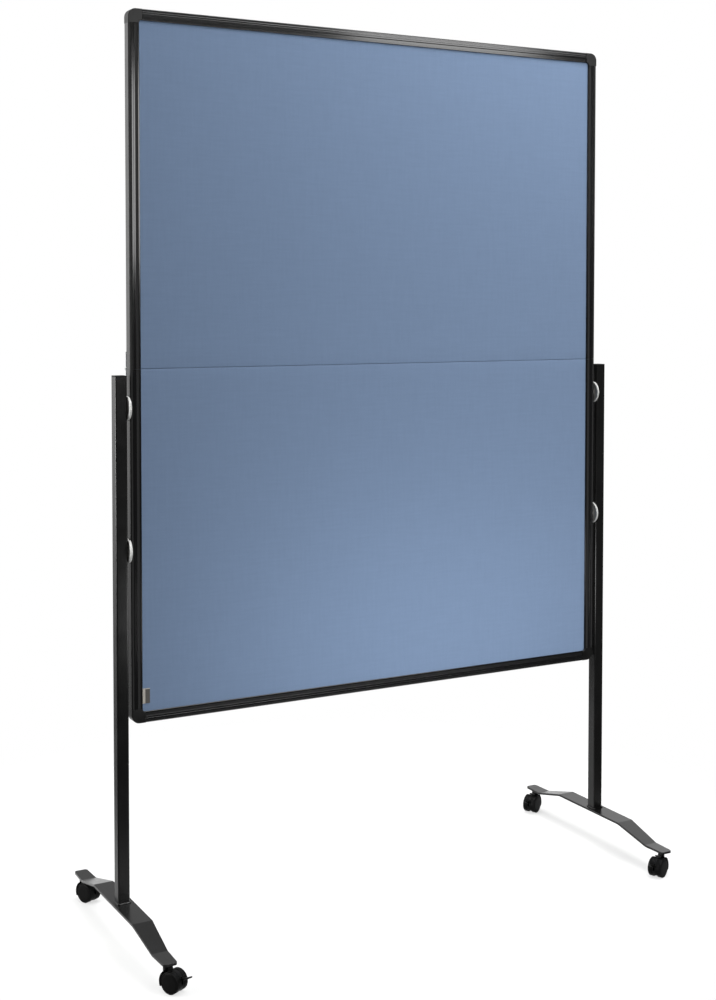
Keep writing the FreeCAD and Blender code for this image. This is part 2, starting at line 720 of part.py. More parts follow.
# Foot plate: the bent side view and the tapering plan, each as a block, and what they share
def make_feet():
    half = dim.foot_length / 2
    inner = dim.foot_inner_bend
    outer = dim.foot_outer_bend
    rising = [(-half, foot_end_top), (-outer, foot_end_top), (-inner, foot_top)]
    upper = rising + [(-y, z) for y, z in reversed(rising)]
    lower = [(y, z - dim.foot_thickness) for y, z in reversed(upper)]
    bent = new_body("FootSide")
    side = new_sketch(bent, "YZ_Plane")
    draw_outline(side, upper + lower)
    pad(bent, side, dim.foot_middle_width, symmetric=True)

    def bend_line(edge):
        point = edge.CenterOfMass
        return along(edge, X_AXIS) and (near(abs(point.y), inner) or near(abs(point.y), outer))

    dress_edges(bent, "Fillet", dim.foot_bend_radius, bend_line)

    plan = new_body("FootPlan")
    sketch = new_sketch(plan, "XY_Plane")
    right = [(dim.foot_end_width / 2, -half), (dim.foot_bend_width / 2, -outer), (dim.foot_middle_width / 2, -inner)]
    right = right + [(x, -y) for x, y in reversed(right)]
    draw_outline(sketch, right + [(-x, y) for x, y in reversed(right)])
    for sign in (-1, 1):
        draw_circle(sketch, 0, sign * castor_y, dim.stem_radius + dim.seat_clearance)
    pad(plan, sketch, foot_top + dim.foot_thickness)

    def end_corner(edge):
        return along(edge, Z_AXIS) and near(abs(edge.CenterOfMass.y), half)

    dress_edges(plan, "Fillet", dim.foot_end_radius, end_corner)

    foot = doc.addObject("Part::MultiCommon", "LeftFoot")
    foot.Shapes = [bent, plan]
    place(foot, -post_x, 0, 0)
    publish(foot, "left_foot")
    publish(mirrored(foot, "RightFoot"), "right_foot")


# Thumb screws: x runs inward from the board's side face, so the gap and the post lie at minus x
def turned_piece(name, outline, height):
    body = new_body(name)
    sketch = new_sketch(body, "XY_Plane")
    draw_outline(sketch, outline)
    revolve(body, sketch, "X_Axis")
    place(body, -half_board, 0, height)
    return body


def thumb_screw(name, height):
    stud = dim.stud_radius
    inner_face = -(dim.flange_thickness + dim.thumb_clearance)
    outer_face = -(dim.post_gap - dim.flange_thickness - dim.thumb_clearance)
    collar_inner = -(dim.post_gap + dim.post_wall + dim.bush_tail + dim.thumb_clearance)
    collar_outer = collar_inner - dim.collar_thickness
    rim = dim.thumb_radius - dim.thumb_rim
    outline = [
        (dim.stud_reach, 0), (dim.stud_reach, stud), (inner_face, stud),
        (inner_face, dim.thumb_boss), (inner_face - dim.thumb_dish, dim.thumb_boss),
        (inner_face - dim.thumb_dish, rim), (inner_face, rim),
        (inner_face, dim.thumb_radius - dim.thumb_bevel), (inner_face - dim.thumb_bevel, dim.thumb_radius),
        (outer_face + dim.thumb_bevel, dim.thumb_radius), (outer_face, dim.thumb_radius - dim.thumb_bevel),
        (outer_face, rim), (outer_face + dim.thumb_dish, rim),
        (outer_face + dim.thumb_dish, dim.thumb_boss), (outer_face, dim.thumb_boss),
        (outer_face, stud), (collar_inner, stud), (collar_inner, dim.collar_radius),
        (collar_outer, dim.collar_radius), (collar_outer, 0),
    ]
    body = turned_piece(name, outline, height)
    notch = new_sketch(body, "YZ_Plane")
    draw_circle(notch, 0, dim.thumb_radius + dim.knurl_radius / 2, dim.knurl_radius)
    cut = pocket(body, notch, dim.post_gap, backward=True)
    knurl = body.newObject("PartDesign::PolarPattern", name + "Knurl")
    knurl.Originals = [cut]
    knurl.Axis = (next(entry for entry in body.Origin.OriginFeatures if entry.Role == "X_Axis"), [""])
    knurl.Angle = 360
    knurl.Occurrences = KNURL_COUNT
    body.Tip = knurl
    return body


def make_clamps():
    inserts = []
    bushes = []
    bore = dim.stud_radius + dim.running_clearance
    for level, height in clamp_heights.items():
        screw = thumb_screw("ThumbScrew" + level.title(), height)
        publish(screw, f"thumb_screw_left_{level}")
        publish(mirrored(screw, "RightThumbScrew" + level.title()), f"thumb_screw_right_{level}")
        inserts.append(turned_piece("Insert" + level.title(), [
            (-dim.flange_thickness, bore), (-dim.flange_thickness, dim.collar_radius), (0, dim.collar_radius),
            (0, dim.insert_radius), (dim.insert_length, dim.insert_radius), (dim.insert_length, bore),
        ], height))
        wall = -dim.post_gap
        tail = wall - dim.post_wall - dim.bush_tail
        bushes.append(turned_piece("Bush" + level.title(), [
            (wall + dim.flange_thickness, bore), (wall + dim.flange_thickness, dim.collar_radius),
            (wall, dim.collar_radius), (wall, dim.bush_radius), (tail, dim.bush_radius), (tail, bore),
        ], height))
    pair(group("LeftInserts", inserts), "frame_inserts")
    pair(group("LeftBushes", bushes), "post_bushes")


# Castor: origin on the floor under the stem, x along the trail, y along the axle
def wheel_guard(body):
    """A curved wall in front of both treads: a ring round the axle, cut down to its leading part."""
    inner = dim.wheel_radius + dim.guard_clearance
    outer = inner + dim.guard_thickness
    ring = new_sketch(body, "XZ_Plane")
    draw_circle(ring, dim.castor_trail, dim.wheel_radius, outer)
    draw_circle(ring, dim.castor_trail, dim.wheel_radius, inner)
    pad(body, ring, dim.guard_width, symmetric=True)
    rest = new_sketch(body, "XZ_Plane")
    left = dim.castor_trail - 2 * outer
    right = dim.castor_trail + 2 * outer
    low = dim.wheel_radius - 2 * outer
    high = dim.wheel_radius + 2 * outer
    toe = dim.wheel_radius - dim.guard_drop
    draw_outline(rest, [
        (dim.guard_end, high), (dim.guard_end, toe), (left, toe), (left, low), (right, low), (right, high),
    ])
    pocket(body, rest, 2 * dim.guard_width, symmetric=True)


def castor_hood(name):
    body = new_body(name)
    wheel_guard(body)
    side = new_sketch(body, "XZ_Plane")
    neck = dim.neck_half_width
    draw_outline(side, [
        (-neck, neck_top), (-neck, dim.wheel_radius), (dim.castor_trail, dim.wheel_radius),
        (dim.castor_trail, dim.wheel_radius + dim.hood_radius / 2), (neck, neck_top),
    ])
    pad(body, side, 2 * half_hood, symmetric=True)
    boss = new_sketch(body, "XY_Plane", neck_top)
    draw_circle(boss, 0, 0, dim.neck_boss_radius)
    pad(body, boss, dim.neck_boss_height, backward=True)
    shell = new_sketch(body, "XZ_Plane")
    draw_circle(shell, dim.castor_trail, dim.wheel_radius, dim.hood_radius)
    pad(body, shell, 2 * half_hood, symmetric=True)
    floor = new_sketch(body, "XZ_Plane")
    reach = dim.castor_trail + dim.hood_radius
    draw_rectangle(floor, -reach, 2 * reach, -dim.hood_floor_clearance, dim.hood_floor_clearance)
    pocket(body, floor, 4 * half_hood, symmetric=True)
    axle = new_sketch(body, "XZ_Plane")
    draw_circle(axle, dim.castor_trail, dim.wheel_radius, dim.axle_radius + dim.seat_clearance)
    pocket(body, axle, 4 * half_hood, symmetric=True)
    slot = new_sketch(body, "XZ_Plane")
    draw_rectangle(slot, pivot_x - dim.lever_tail - dim.lever_slot_room, 2 * reach,
                   pivot_z - dim.lever_travel_room, pivot_z + dim.lever_depth + dim.lever_head_room)
    pocket(body, slot, dim.lever_width + 2 * dim.lever_side_clearance, symmetric=True)
    pivot = new_sketch(body, "XZ_Plane")
    draw_circle(pivot, pivot_x, pivot_z, dim.lever_pin_radius + dim.running_clearance)
    trunnion = dim.lever_width + 2 * (dim.lever_pin_reach + dim.lever_side_clearance)
    pocket(body, pivot, trunnion, symmetric=True)
    stem = new_sketch(body, "XY_Plane", neck_top)
    draw_circle(stem, 0, 0, dim.stem_radius + dim.running_clearance)
    stem_bottom = dim.castor_height - dim.stem_length - dim.swivel_clearance
    pocket(body, stem, neck_top - stem_bottom, backward=True)
    return body


def castor_wheel(name, side):
    """One wheel, revolved about the axle; side tells which way its outer face looks."""
    body = new_body(name)
    sketch = new_sketch(body, "XY_Plane")
    inner = dim.wheel_gap / 2
    outer = inner + dim.wheel_width
    tread = dim.wheel_radius
    bevel = dim.wheel_bevel
    bore = dim.axle_radius + dim.running_clearance
    outline = [
        (bore, inner), (tread - bevel, inner), (tread, inner + bevel), (tread, outer - bevel),
        (tread - bevel, outer), (dim.wheel_face_ring, outer),
        (dim.wheel_face_ring - dim.wheel_ring_depth, outer - dim.wheel_ring_depth),
        (0, outer - dim.wheel_ring_depth), (0, inner + dim.axle_engagement), (bore, inner + dim.axle_engagement),
    ]
    draw_outline(sketch, [(x, side * y) for x, y in outline])
    revolve(body, sketch, "Y_Axis")
    return body


def brake_lever(name):
    body = new_body(name)
    sketch = new_sketch(body, "XZ_Plane")
    depth = dim.lever_depth
    tip = dim.lever_reach
    lift = dim.lever_lift
    arm = [(-dim.lever_tail, -depth), (depth, -depth), (tip, lift - dim.lever_tip), (tip, lift),
           (depth, depth), (-dim.lever_tail, depth)]
    draw_outline(sketch, [(pivot_x + x, pivot_z + z) for x, z in arm])
    pad(body, sketch, dim.lever_width, symmetric=True)
    trunnion = new_sketch(body, "XZ_Plane")
    draw_circle(trunnion, pivot_x, pivot_z, dim.lever_pin_radius)
    pad(body, trunnion, dim.lever_width + 2 * dim.lever_pin_reach, symmetric=True)
    return body


def make_castor(corner, x, y, angle):
    name = corner.title().replace("_", "")
    hood = castor_hood(name + "Hood")
    lever = brake_lever(name + "Lever")
    for piece, label in ((hood, "hood"), (lever, "brake_lever")):
        place(piece, x, y, 0, Z_AXIS, angle)
        publish(piece, f"castor_{corner}_{label}")
    axle_base = doc.addObject("Part::Cylinder", name + "AxleRod")
    bind(axle_base, "Radius", dim.axle_radius)
    bind(axle_base, "Height", 2 * axle_span)
    place(axle_base, dim.castor_trail, axle_span, dim.wheel_radius, X_AXIS, 90)
    axle = group(name + "Axle", [axle_base])
    place(axle, x, y, 0, Z_AXIS, angle)
    publish(axle, f"castor_{corner}_axle")
    for label, side in (("wheel_a", -1), ("wheel_b", 1)):
        wheel = castor_wheel(name + label.title().replace("_", ""), side)
        place(wheel, dim.castor_trail, 0, dim.wheel_radius)
        seated = group(name + label.title().replace("_", "") + "Seated", [wheel])
        place(seated, x, y, 0, Z_AXIS, angle)
        publish(seated, f"castor_{corner}_{label}")


def make_castors():
    stem = new_body("CastorStem")
    sketch = new_sketch(stem, "XZ_Plane")
    under = dim.castor_height - dim.stem_flange
    draw_outline(sketch, [
        (0, foot_end_top), (dim.stem_radius, foot_end_top), (dim.stem_radius, dim.castor_height),
        (dim.stem_flange_radius, dim.castor_height), (dim.stem_flange_radius, under), (dim.stem_radius, under),
        (dim.stem_radius, dim.castor_height - dim.stem_length), (0, dim.castor_height - dim.stem_length),
    ])
    revolve(stem, sketch, "Z_Axis")
    place(stem, -post_x, -castor_y, 0)
    left_stems = group("LeftStems", [stem, mirrored(stem, "RearStem", Y_AXIS)])
    pair(left_stems, "castor_stems")
    make_castor("front_left", -post_x, -castor_y, dim.front_left_swivel)
    make_castor("rear_left", -post_x, castor_y, dim.rear_left_swivel)
    make_castor("front_right", post_x, -castor_y, dim.front_right_swivel)
    make_castor("rear_right", post_x, castor_y, dim.rear_right_swivel)


def check_document():
    """Stop at any failed feature, at a cut that removes nothing and at a broken piece."""
    for thing in doc.Objects:
        if "Invalid" in thing.State or "Error" in thing.State:
            raise RuntimeError(f"{thing.Name} failed: {thing.State}")
        if thing.TypeId == "PartDesign::Pocket":
            if thing.BaseFeature.Shape.Volume - thing.Shape.Volume < TOLERANCE:
                raise RuntimeError(f"{thing.Name} cuts nothing")
    for piece in subparts:
        if piece.Shape.isNull() or not piece.Shape.isValid() or not piece.Shape.Solids:
            raise RuntimeError(f"{piece.Label} is not a valid solid")


make_frame()
make_corner_caps()
make_panels()
make_battens()
make_hinges()
make_posts()
make_feet()
make_clamps()
make_castors()
doc.recompute()
check_document()

os.makedirs("parts", exist_ok=True)
for subpart in subparts:
    subpart.Shape.exportStep(os.path.join("parts", subpart.Label + ".step"))
print(len(subparts), "nodes")
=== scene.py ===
import functools
import json
import math

import bpy
from bpy.props import FloatProperty, FloatVectorProperty, IntProperty, PointerProperty
from mathutils import Matrix, Vector


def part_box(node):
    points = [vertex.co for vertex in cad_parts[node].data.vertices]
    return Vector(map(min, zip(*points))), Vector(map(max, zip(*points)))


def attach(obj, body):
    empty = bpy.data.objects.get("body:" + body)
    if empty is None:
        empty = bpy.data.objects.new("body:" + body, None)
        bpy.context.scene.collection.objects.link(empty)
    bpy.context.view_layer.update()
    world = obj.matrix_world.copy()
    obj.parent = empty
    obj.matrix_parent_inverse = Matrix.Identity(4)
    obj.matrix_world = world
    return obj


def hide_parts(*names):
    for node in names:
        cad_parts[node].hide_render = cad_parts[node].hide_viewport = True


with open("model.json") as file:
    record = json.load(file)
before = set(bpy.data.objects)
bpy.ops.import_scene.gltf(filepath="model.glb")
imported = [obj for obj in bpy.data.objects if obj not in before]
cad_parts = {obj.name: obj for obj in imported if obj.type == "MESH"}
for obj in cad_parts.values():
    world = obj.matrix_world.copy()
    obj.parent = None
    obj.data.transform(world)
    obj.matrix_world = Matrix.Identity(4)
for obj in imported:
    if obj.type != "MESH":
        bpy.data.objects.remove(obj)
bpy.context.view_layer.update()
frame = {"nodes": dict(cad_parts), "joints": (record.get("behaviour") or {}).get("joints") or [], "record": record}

bl_info = {
    "name": "Mobile Pinboard Looks",
    "version": (1, 0, 0),
    "blender": (4, 5, 0),
    "location": "3D View > Sidebar > Pinboard",
    "description": "Dresses the pinboard's frame with cloth, finishes, castors and a small studio",
    "category": "Object",
}

MM = 0.001
TINY = 1e-6
NODES = frame["nodes"]
JOINTS = {joint["name"]: joint for joint in frame["joints"]}
BODIES = frame["record"]["behaviour"]["bodies"]
BODY_OF = {node: body for body, members in BODIES.items() for node in members}
CORNERS = ("front_left", "rear_left", "front_right", "rear_right")
CLAMPS = ("left_upper", "left_lower", "right_upper", "right_lower")
HALVES = ("lower", "upper")
SIDES = ("left", "right")
UP = Vector((0, 0, 1))
# Places of the colour sockets on Blender's Mix node
MIX_A, MIX_B, MIX_OUT = 6, 7, 2
# The middle of a noise, where most of its values lie
NOISE = {"From Min": 0.3, "From Max": 0.7}
# Scale of a wave texture whose bands lie one metre apart
WAVE_SCALE = 0.1 * math.pi
# Edges below this angle are shaded smooth on hard pieces and on cloth
HARD_SMOOTH, CLOTH_SMOOTH = math.radians(32), math.radians(40)
# Edges above this angle are rounded on shaped pieces and on copies of the frame's nodes
ROUNDED_ANGLE, EASED_ANGLE = math.radians(40), math.radians(35)
# Faces that meet below this angle are one flat face
FLAT_ANGLE = math.radians(0.5)
# Rounding that tools and moulds leave on the edges of small pieces
THUMB_SCREW_ROUND, LEAF_ROUND, SCREW_ROUND, HOOD_ROUND = 0.25 * MM, 0.2 * MM, 0.12 * MM, 0.5 * MM
# Roughness of a frame profile's recessed bands and of its outer edges
PROFILE_BANDS = {"upright": (0.75, 0.75), "bottom": (0.3, 0.3), "top": (0.13, 0.9)}
LIP_GLOSS, RIDGE_GLOSS = 0.14, 0.12
# Grain, roughness and shine of each nylon moulding
NYLON = {
    "corner": (0.5 * MM, 0.36, 0.28),
    "plug": (0.5 * MM, 0.42, 0.12),
    "fitting": (0.5 * MM, 0.4, 0.12),
    "castor": (0.6 * MM, 0.38, 0.1),
    "wheel": (0.6 * MM, 0.4, 0.07),
    "lever": (0.5 * MM, 0.33, 0.3),
}
# Name, place, aim, size in metres and watts of each soft light
LIGHTS = (
    ("overhead", (0.85, -0.9, 3.6), (0.6, -0.5, 0), (2.2, 1.4), 67),
    ("floor_wash", (0.0, 0.6, 4.2), (0.0, 0.5, 0), (2.6, 1.2), 120),
    ("key", (0.8, -3.0, 1.9), (0.0, 0, 1.85), (1.3, 0.8), 25),
    ("key_right", (1.96, -3.0, 2.2), (0.3, 0, 1.9), (0.85, 1.1), 21),
    ("upper_front", (0.62, -1.2, 2.6), (0.35, 0, 1.8), (0.7, 0.4), 6),
    ("low_front", (0.18, -0.6, 0.55), (0.18, 0, 0.55), (1.04, 0.2), 3.3),
    ("left_side", (-3.2, 0.5, 1.2), (-0.6, 0, 1.0), (0.8, 1.6), 80),
)


def linear(hex_colour):
    """An sRGB hex colour as the linear RGB that Blender works in."""
    channels = [int(hex_colour[start:start + 2], 16) / 255 for start in (1, 3, 5)]
    return tuple(c / 12.92 if c <= 0.04045 else ((c + 0.055) / 1.055) ** 2.4 for c in channels)


def rgba(colour):
    return (*colour, 1.0)


class FabricSettings(bpy.types.PropertyGroup):
    """Cloth on the board's faces and its edge tab"""

    thickness: FloatProperty(
        name="Thickness", description="Thickness of the cloth", default=0.9 * MM, unit="LENGTH")
    seam_round: FloatProperty(
        name="Seam Round", description="Radius of the cloth over the panel's edge",
        default=1.8 * MM, unit="LENGTH")
    thread_pitch: FloatProperty(
        name="Thread Pitch", description="Distance from thread to thread", default=2.4 * MM, unit="LENGTH")
    # Colour of the painted highlight on a thread's top, also the light end of the heather
    lit_thread_and_light_heather: FloatVectorProperty(
        name="Light Thread", description="Top of a thread", subtype="COLOR", default=linear("#7c91b0"))
    # Colour of the painted shade between threads, also the dark end of the heather
    thread_shade_and_dark_heather: FloatVectorProperty(
        name="Dark Thread", description="Hollow between threads", subtype="COLOR", default=linear("#647791"))
    tab_colour: FloatVectorProperty(
        name="Tab Colour", description="Plain ribbon tab", subtype="COLOR", default=linear("#4a4743"))
    # Colour of the painted highlight down the tab's left edge and of the paler band along its top
    tab_highlight_and_top: FloatVectorProperty(
        name="Tab Edge", description="Heat-cut ends of the ribbon", subtype="COLOR",
        default=linear("#b3aea6"))
    ribbon_thickness: FloatProperty(
        name="Ribbon Thickness", description="Thickness of the tab's ribbon", default=0.3 * MM, unit="LENGTH")


class MetalSettings(bpy.types.PropertyGroup):
    """Frame, posts, feet and fittings"""

    edge_round: FloatProperty(
        name="Edge Round", description="Rounding of the frame's edges", default=0.35 * MM, unit="LENGTH")
    bead_radius: FloatProperty(
        name="Weld Bead", description="Radius of a weld bead", default=1.7 * MM, unit="LENGTH")
    anodised: FloatVectorProperty(
        name="Anodised Black", description="Colour of the frame", subtype="COLOR", default=linear("#0c0c0d"))
    powder: FloatVectorProperty(
        name="Powder Black", description="Colour of posts and feet", subtype="COLOR",
        default=linear("#0b0b0b"))
    aluminium: FloatVectorProperty(
        name="Satin Aluminium", description="Colour of the thumb screws",
        subtype="COLOR", default=linear("#d6d6d4"))


class CastorSettings(bpy.types.PropertyGroup):
    """Castor wheels and brake levers"""

    wheel_sides: IntProperty(
        name="Wheel Sides", description="Facets round a wheel", default=72, min=24, max=128)
    wheel_width: FloatProperty(
        name="Wheel Width", description="Width of one wheel of a pair", default=11.5 * MM, unit="LENGTH")
    lever_width: FloatProperty(
        name="Lever Width", description="Width of a brake lever", default=4 * MM, unit="LENGTH")
    nylon: FloatVectorProperty(
        name="Black Nylon", description="Colour of the castors", subtype="COLOR", default=linear("#0b0b0b"))


class StageSettings(bpy.types.PropertyGroup):
    """Camera, floor and lights"""

    camera_place: FloatVectorProperty(
        name="Camera Place", description="Where the camera stands", subtype="TRANSLATION", unit="LENGTH",
        default=(-1.68845, -3.08776, 1.36517))
    camera_heading: FloatProperty(
        name="Heading", description="Turn to the right of straight ahead", subtype="ANGLE",
        default=math.radians(29.862))
    camera_dip: FloatProperty(
        name="Dip", description="Tilt below the horizon", subtype="ANGLE", default=math.radians(2.407))
    camera_roll: FloatProperty(
        name="Roll", description="Lean to the left", subtype="ANGLE", default=math.radians(0.11))
    lens: FloatProperty(
        name="Lens", description="Focal length in millimetres", default=55.364, unit="CAMERA")
    shift_x: FloatProperty(name="Shift X", description="Sideways shift of the picture", default=-0.0533)
    shift_y: FloatProperty(name="Shift Y", description="Upward shift of the picture", default=-0.1374)
    floor_size: FloatProperty(
        name="Floor Size", description="Width of the pale floor", default=2.4, unit="LENGTH")
    floor_colour: FloatVectorProperty(
        name="Floor Colour", description="Pale floor", subtype="COLOR", default=linear("#f2f2f1"))


class PinboardSettings(bpy.types.PropertyGroup):
    """All that a user would change"""

    fabric: PointerProperty(type=FabricSettings, name="Fabric", description="Cloth and tab")
    metal: PointerProperty(type=MetalSettings, name="Metal", description="Frame and stand")
    castor: PointerProperty(type=CastorSettings, name="Castors", description="Wheels and levers")
    stage: PointerProperty(type=StageSettings, name="Stage", description="Camera, floor and lights")


def chosen():
    """The settings of the open scene."""
    return bpy.context.scene.pinboard


# Materials
def add(tree, kind, options=None, inputs=None):
    """Add a node, set its options, and set or link its inputs."""
    made = tree.nodes.new(kind)
    for name, value in (options or {}).items():
        setattr(made, name, value)
    for name, value in (inputs or {}).items():
        if isinstance(value, bpy.types.NodeSocket):
            tree.links.new(value, made.inputs[name])
        else:
            made.inputs[name].default_value = value
    return made


def new_material(name):
    """A material with an empty node tree, and the place of each point on the piece."""
    material = bpy.data.materials.new(name)
    material.use_nodes = True
    tree = material.node_tree
    tree.nodes.clear()
    return material, tree, add(tree, "ShaderNodeTexCoord").outputs["Object"]


def spread(tree, noise, low, high):
    """A noise stretched to run from a low to a high value."""
    made = add(tree, "ShaderNodeMapRange", inputs={
        "Value": noise.outputs["Fac"], **NOISE, "To Min": low, "To Max": high})
    return made.outputs["Result"]


def tinted(tree, colour, shade):
    """A colour made lighter and darker by a factor."""
    made = add(tree, "ShaderNodeVectorMath", {"operation": "SCALE"}, {0: colour, "Scale": shade})
    return made.outputs["Vector"]


def bumped(tree, height, strength, distance):
    """Surface normals for a relief of the given height."""
    made = add(tree, "ShaderNodeBump", inputs={"Height": height, "Strength": strength, "Distance": distance})
    return made.outputs["Normal"]


def close_material(tree, **inputs):
    """Finish a material with one shader."""
    named = {name.replace("_", " "): value for name, value in inputs.items()}
    shader = add(tree, "ShaderNodeBsdfPrincipled", inputs=named)
    add(tree, "ShaderNodeOutputMaterial", inputs={"Surface": shader.outputs["BSDF"]})


@functools.cache
def anodised_aluminium(run):
    # Extruded aluminium, anodised black: a satin skin with faint die lines along the profile. The ridges,
    # which stand proudest, and the lips by the cloth are rubbed glossy. The recessed bands are matt on the
    # uprights, half matt at the bottom and glossy at the top, where hands hold the board.
    # Real die lines are about 0.2 mm apart; drawn 0.9 mm apart so that they show.
    material, tree, place = new_material("anodised_aluminium_" + run)
    recessed, edges = PROFILE_BANDS[run]
    across, along = 1 / (0.9 * MM), 1 / (500 * MM)
    top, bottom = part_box("top_profile"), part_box("bottom_profile")
    if run == "upright":
        stretch = (across, across, along)
        side, centre, inner = "X", 0.0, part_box("upper_right_profile")[0].x
    else:
        stretch = (along, across, across)
        middle = (top[1].z + bottom[0].z) / 2
        side, centre, inner = "Z", middle, top[0].z - middle
    lip_end = inner + 3.6 * MM
    edge_start = inner + 22 * MM
    proudest = top[1].y
    lines = add(tree, "ShaderNodeMapping", inputs={"Vector": place, "Scale": stretch})
    drawn = add(tree, "ShaderNodeTexNoise", inputs={
        "Vector": lines.outputs["Vector"], "Scale": 1.0, "Detail": 3.0})
    haze = add(tree, "ShaderNodeTexNoise", inputs={"Vector": place, "Scale": 1 / (60 * MM), "Detail": 4.0})
    parts = add(tree, "ShaderNodeSeparateXYZ", inputs={"Vector": place})
    inward = add(tree, "ShaderNodeMath", {"operation": "SUBTRACT"}, {0: parts.outputs[side], 1: centre})
    reach = add(tree, "ShaderNodeMath", {"operation": "ABSOLUTE"}, {0: inward.outputs["Value"]})
    height = add(tree, "ShaderNodeMath", {"operation": "ABSOLUTE"}, {0: parts.outputs["Y"]})

    def step(value, start, stop, before, after):
        made = add(tree, "ShaderNodeMapRange", inputs={
            "Value": value.outputs["Value"], "From Min": start, "From Max": stop,
            "To Min": before, "To Max": after})
        return made.outputs["Result"]

    lip = step(reach, lip_end - 0.3 * MM, lip_end, LIP_GLOSS, recessed)
    edge = step(reach, edge_start - 0.3 * MM, edge_start, lip, edges)
    recess = step(height, proudest - 3.0 * MM, proudest - 2.4 * MM, spread(tree, haze, 0.24, 0.29), edge)
    gloss = step(height, proudest - 0.5 * MM, proudest - 0.1 * MM, recess, RIDGE_GLOSS)
    close_material(
        tree, Base_Color=tinted(tree, chosen().metal.anodised, spread(tree, drawn, 0.8, 1.25)),
        Roughness=gloss, Normal=bumped(tree, drawn.outputs["Fac"], 0.12, 0.1 * MM), IOR=1.5)
    return material


@functools.cache
def powder_coat(name, rough):
    # Steel under a baked powder coat: deep black, half gloss, with an orange-peel skin about 1.6 mm across.
    material, tree, place = new_material(name)
    peel = add(tree, "ShaderNodeTexNoise", inputs={"Vector": place, "Scale": 1 / (1.6 * MM), "Detail": 2.0})
    patches = add(tree, "ShaderNodeTexNoise", inputs={
        "Vector": place, "Scale": 1 / (45 * MM), "Detail": 5.0})
    close_material(
        tree, Base_Color=tinted(tree, chosen().metal.powder, spread(tree, patches, 0.85, 1.2)),
        Roughness=spread(tree, patches, rough - 0.02, rough + 0.03),
        Normal=bumped(tree, peel.outputs["Fac"], 0.08, 0.12 * MM), IOR=1.5)
    return material


@functools.cache
def moulded_nylon(use):
    # Injection-moulded black nylon: a spark-eroded grain, duller than the metal beside it.
    material, tree, place = new_material(f"moulded_{use}_nylon")
    grain, rough, shine = NYLON[use]
    erosion = add(tree, "ShaderNodeTexVoronoi", inputs={"Vector": place, "Scale": 1 / grain})
    flow = add(tree, "ShaderNodeTexNoise", inputs={"Vector": place, "Scale": 1 / (18 * MM), "Detail": 4.0})
    close_material(
        tree, Base_Color=tinted(tree, chosen().castor.nylon, spread(tree, flow, 0.85, 1.2)),
        Roughness=spread(tree, flow, rough - 0.05, rough + 0.07),
        Normal=bumped(tree, erosion.outputs["Distance"], 0.2, 0.08 * MM),
        IOR=1.53, Specular_IOR_Level=shine)
    return material


@functools.cache
def turned_aluminium(height):
    # Turned aluminium, left bright: fine tool rings round the screw's level axis.
    # Real rings are about 0.15 mm apart; drawn 0.7 mm apart so that they show.
    material, tree, place = new_material(f"turned_aluminium_{round(height / MM)}")
    centred = add(tree, "ShaderNodeMapping", inputs={
        "Vector": place, "Location": (0, 0, -height), "Scale": (0, 1, 1)})
    radius = add(tree, "ShaderNodeVectorMath", {"operation": "LENGTH"}, {0: centred.outputs["Vector"]})
    rings = add(tree, "ShaderNodeTexNoise", {"noise_dimensions": "1D"}, {
        "W": radius.outputs["Value"], "Scale": 1 / (0.7 * MM), "Detail": 3.0})
    close_material(
        tree, Base_Color=rgba(chosen().metal.aluminium), Metallic=1.0,
        Roughness=spread(tree, rings, 0.55, 0.66), Normal=bumped(tree, rings.outputs["Fac"], 0.2, 0.1 * MM))
    return material


@functools.cache
def zinc_plated_steel():
    # Stamped steel with a zinc plating: pale grey with a cloudy bloom a few millimetres across.
    material, tree, place = new_material("zinc_plated_steel")
    bloom = add(tree, "ShaderNodeTexNoise", inputs={"Vector": place, "Scale": 1 / (3.5 * MM), "Detail": 3.0})
    colour = add(tree, "ShaderNodeMix", {"data_type": "RGBA"}, {
        "Factor": bloom.outputs["Fac"], MIX_A: rgba(linear("#8f9294")), MIX_B: rgba(linear("#c4c6c6"))})
    close_material(tree, Base_Color=colour.outputs[MIX_OUT], Metallic=1.0,
                   Roughness=spread(tree, bloom, 0.28, 0.46))
    return material


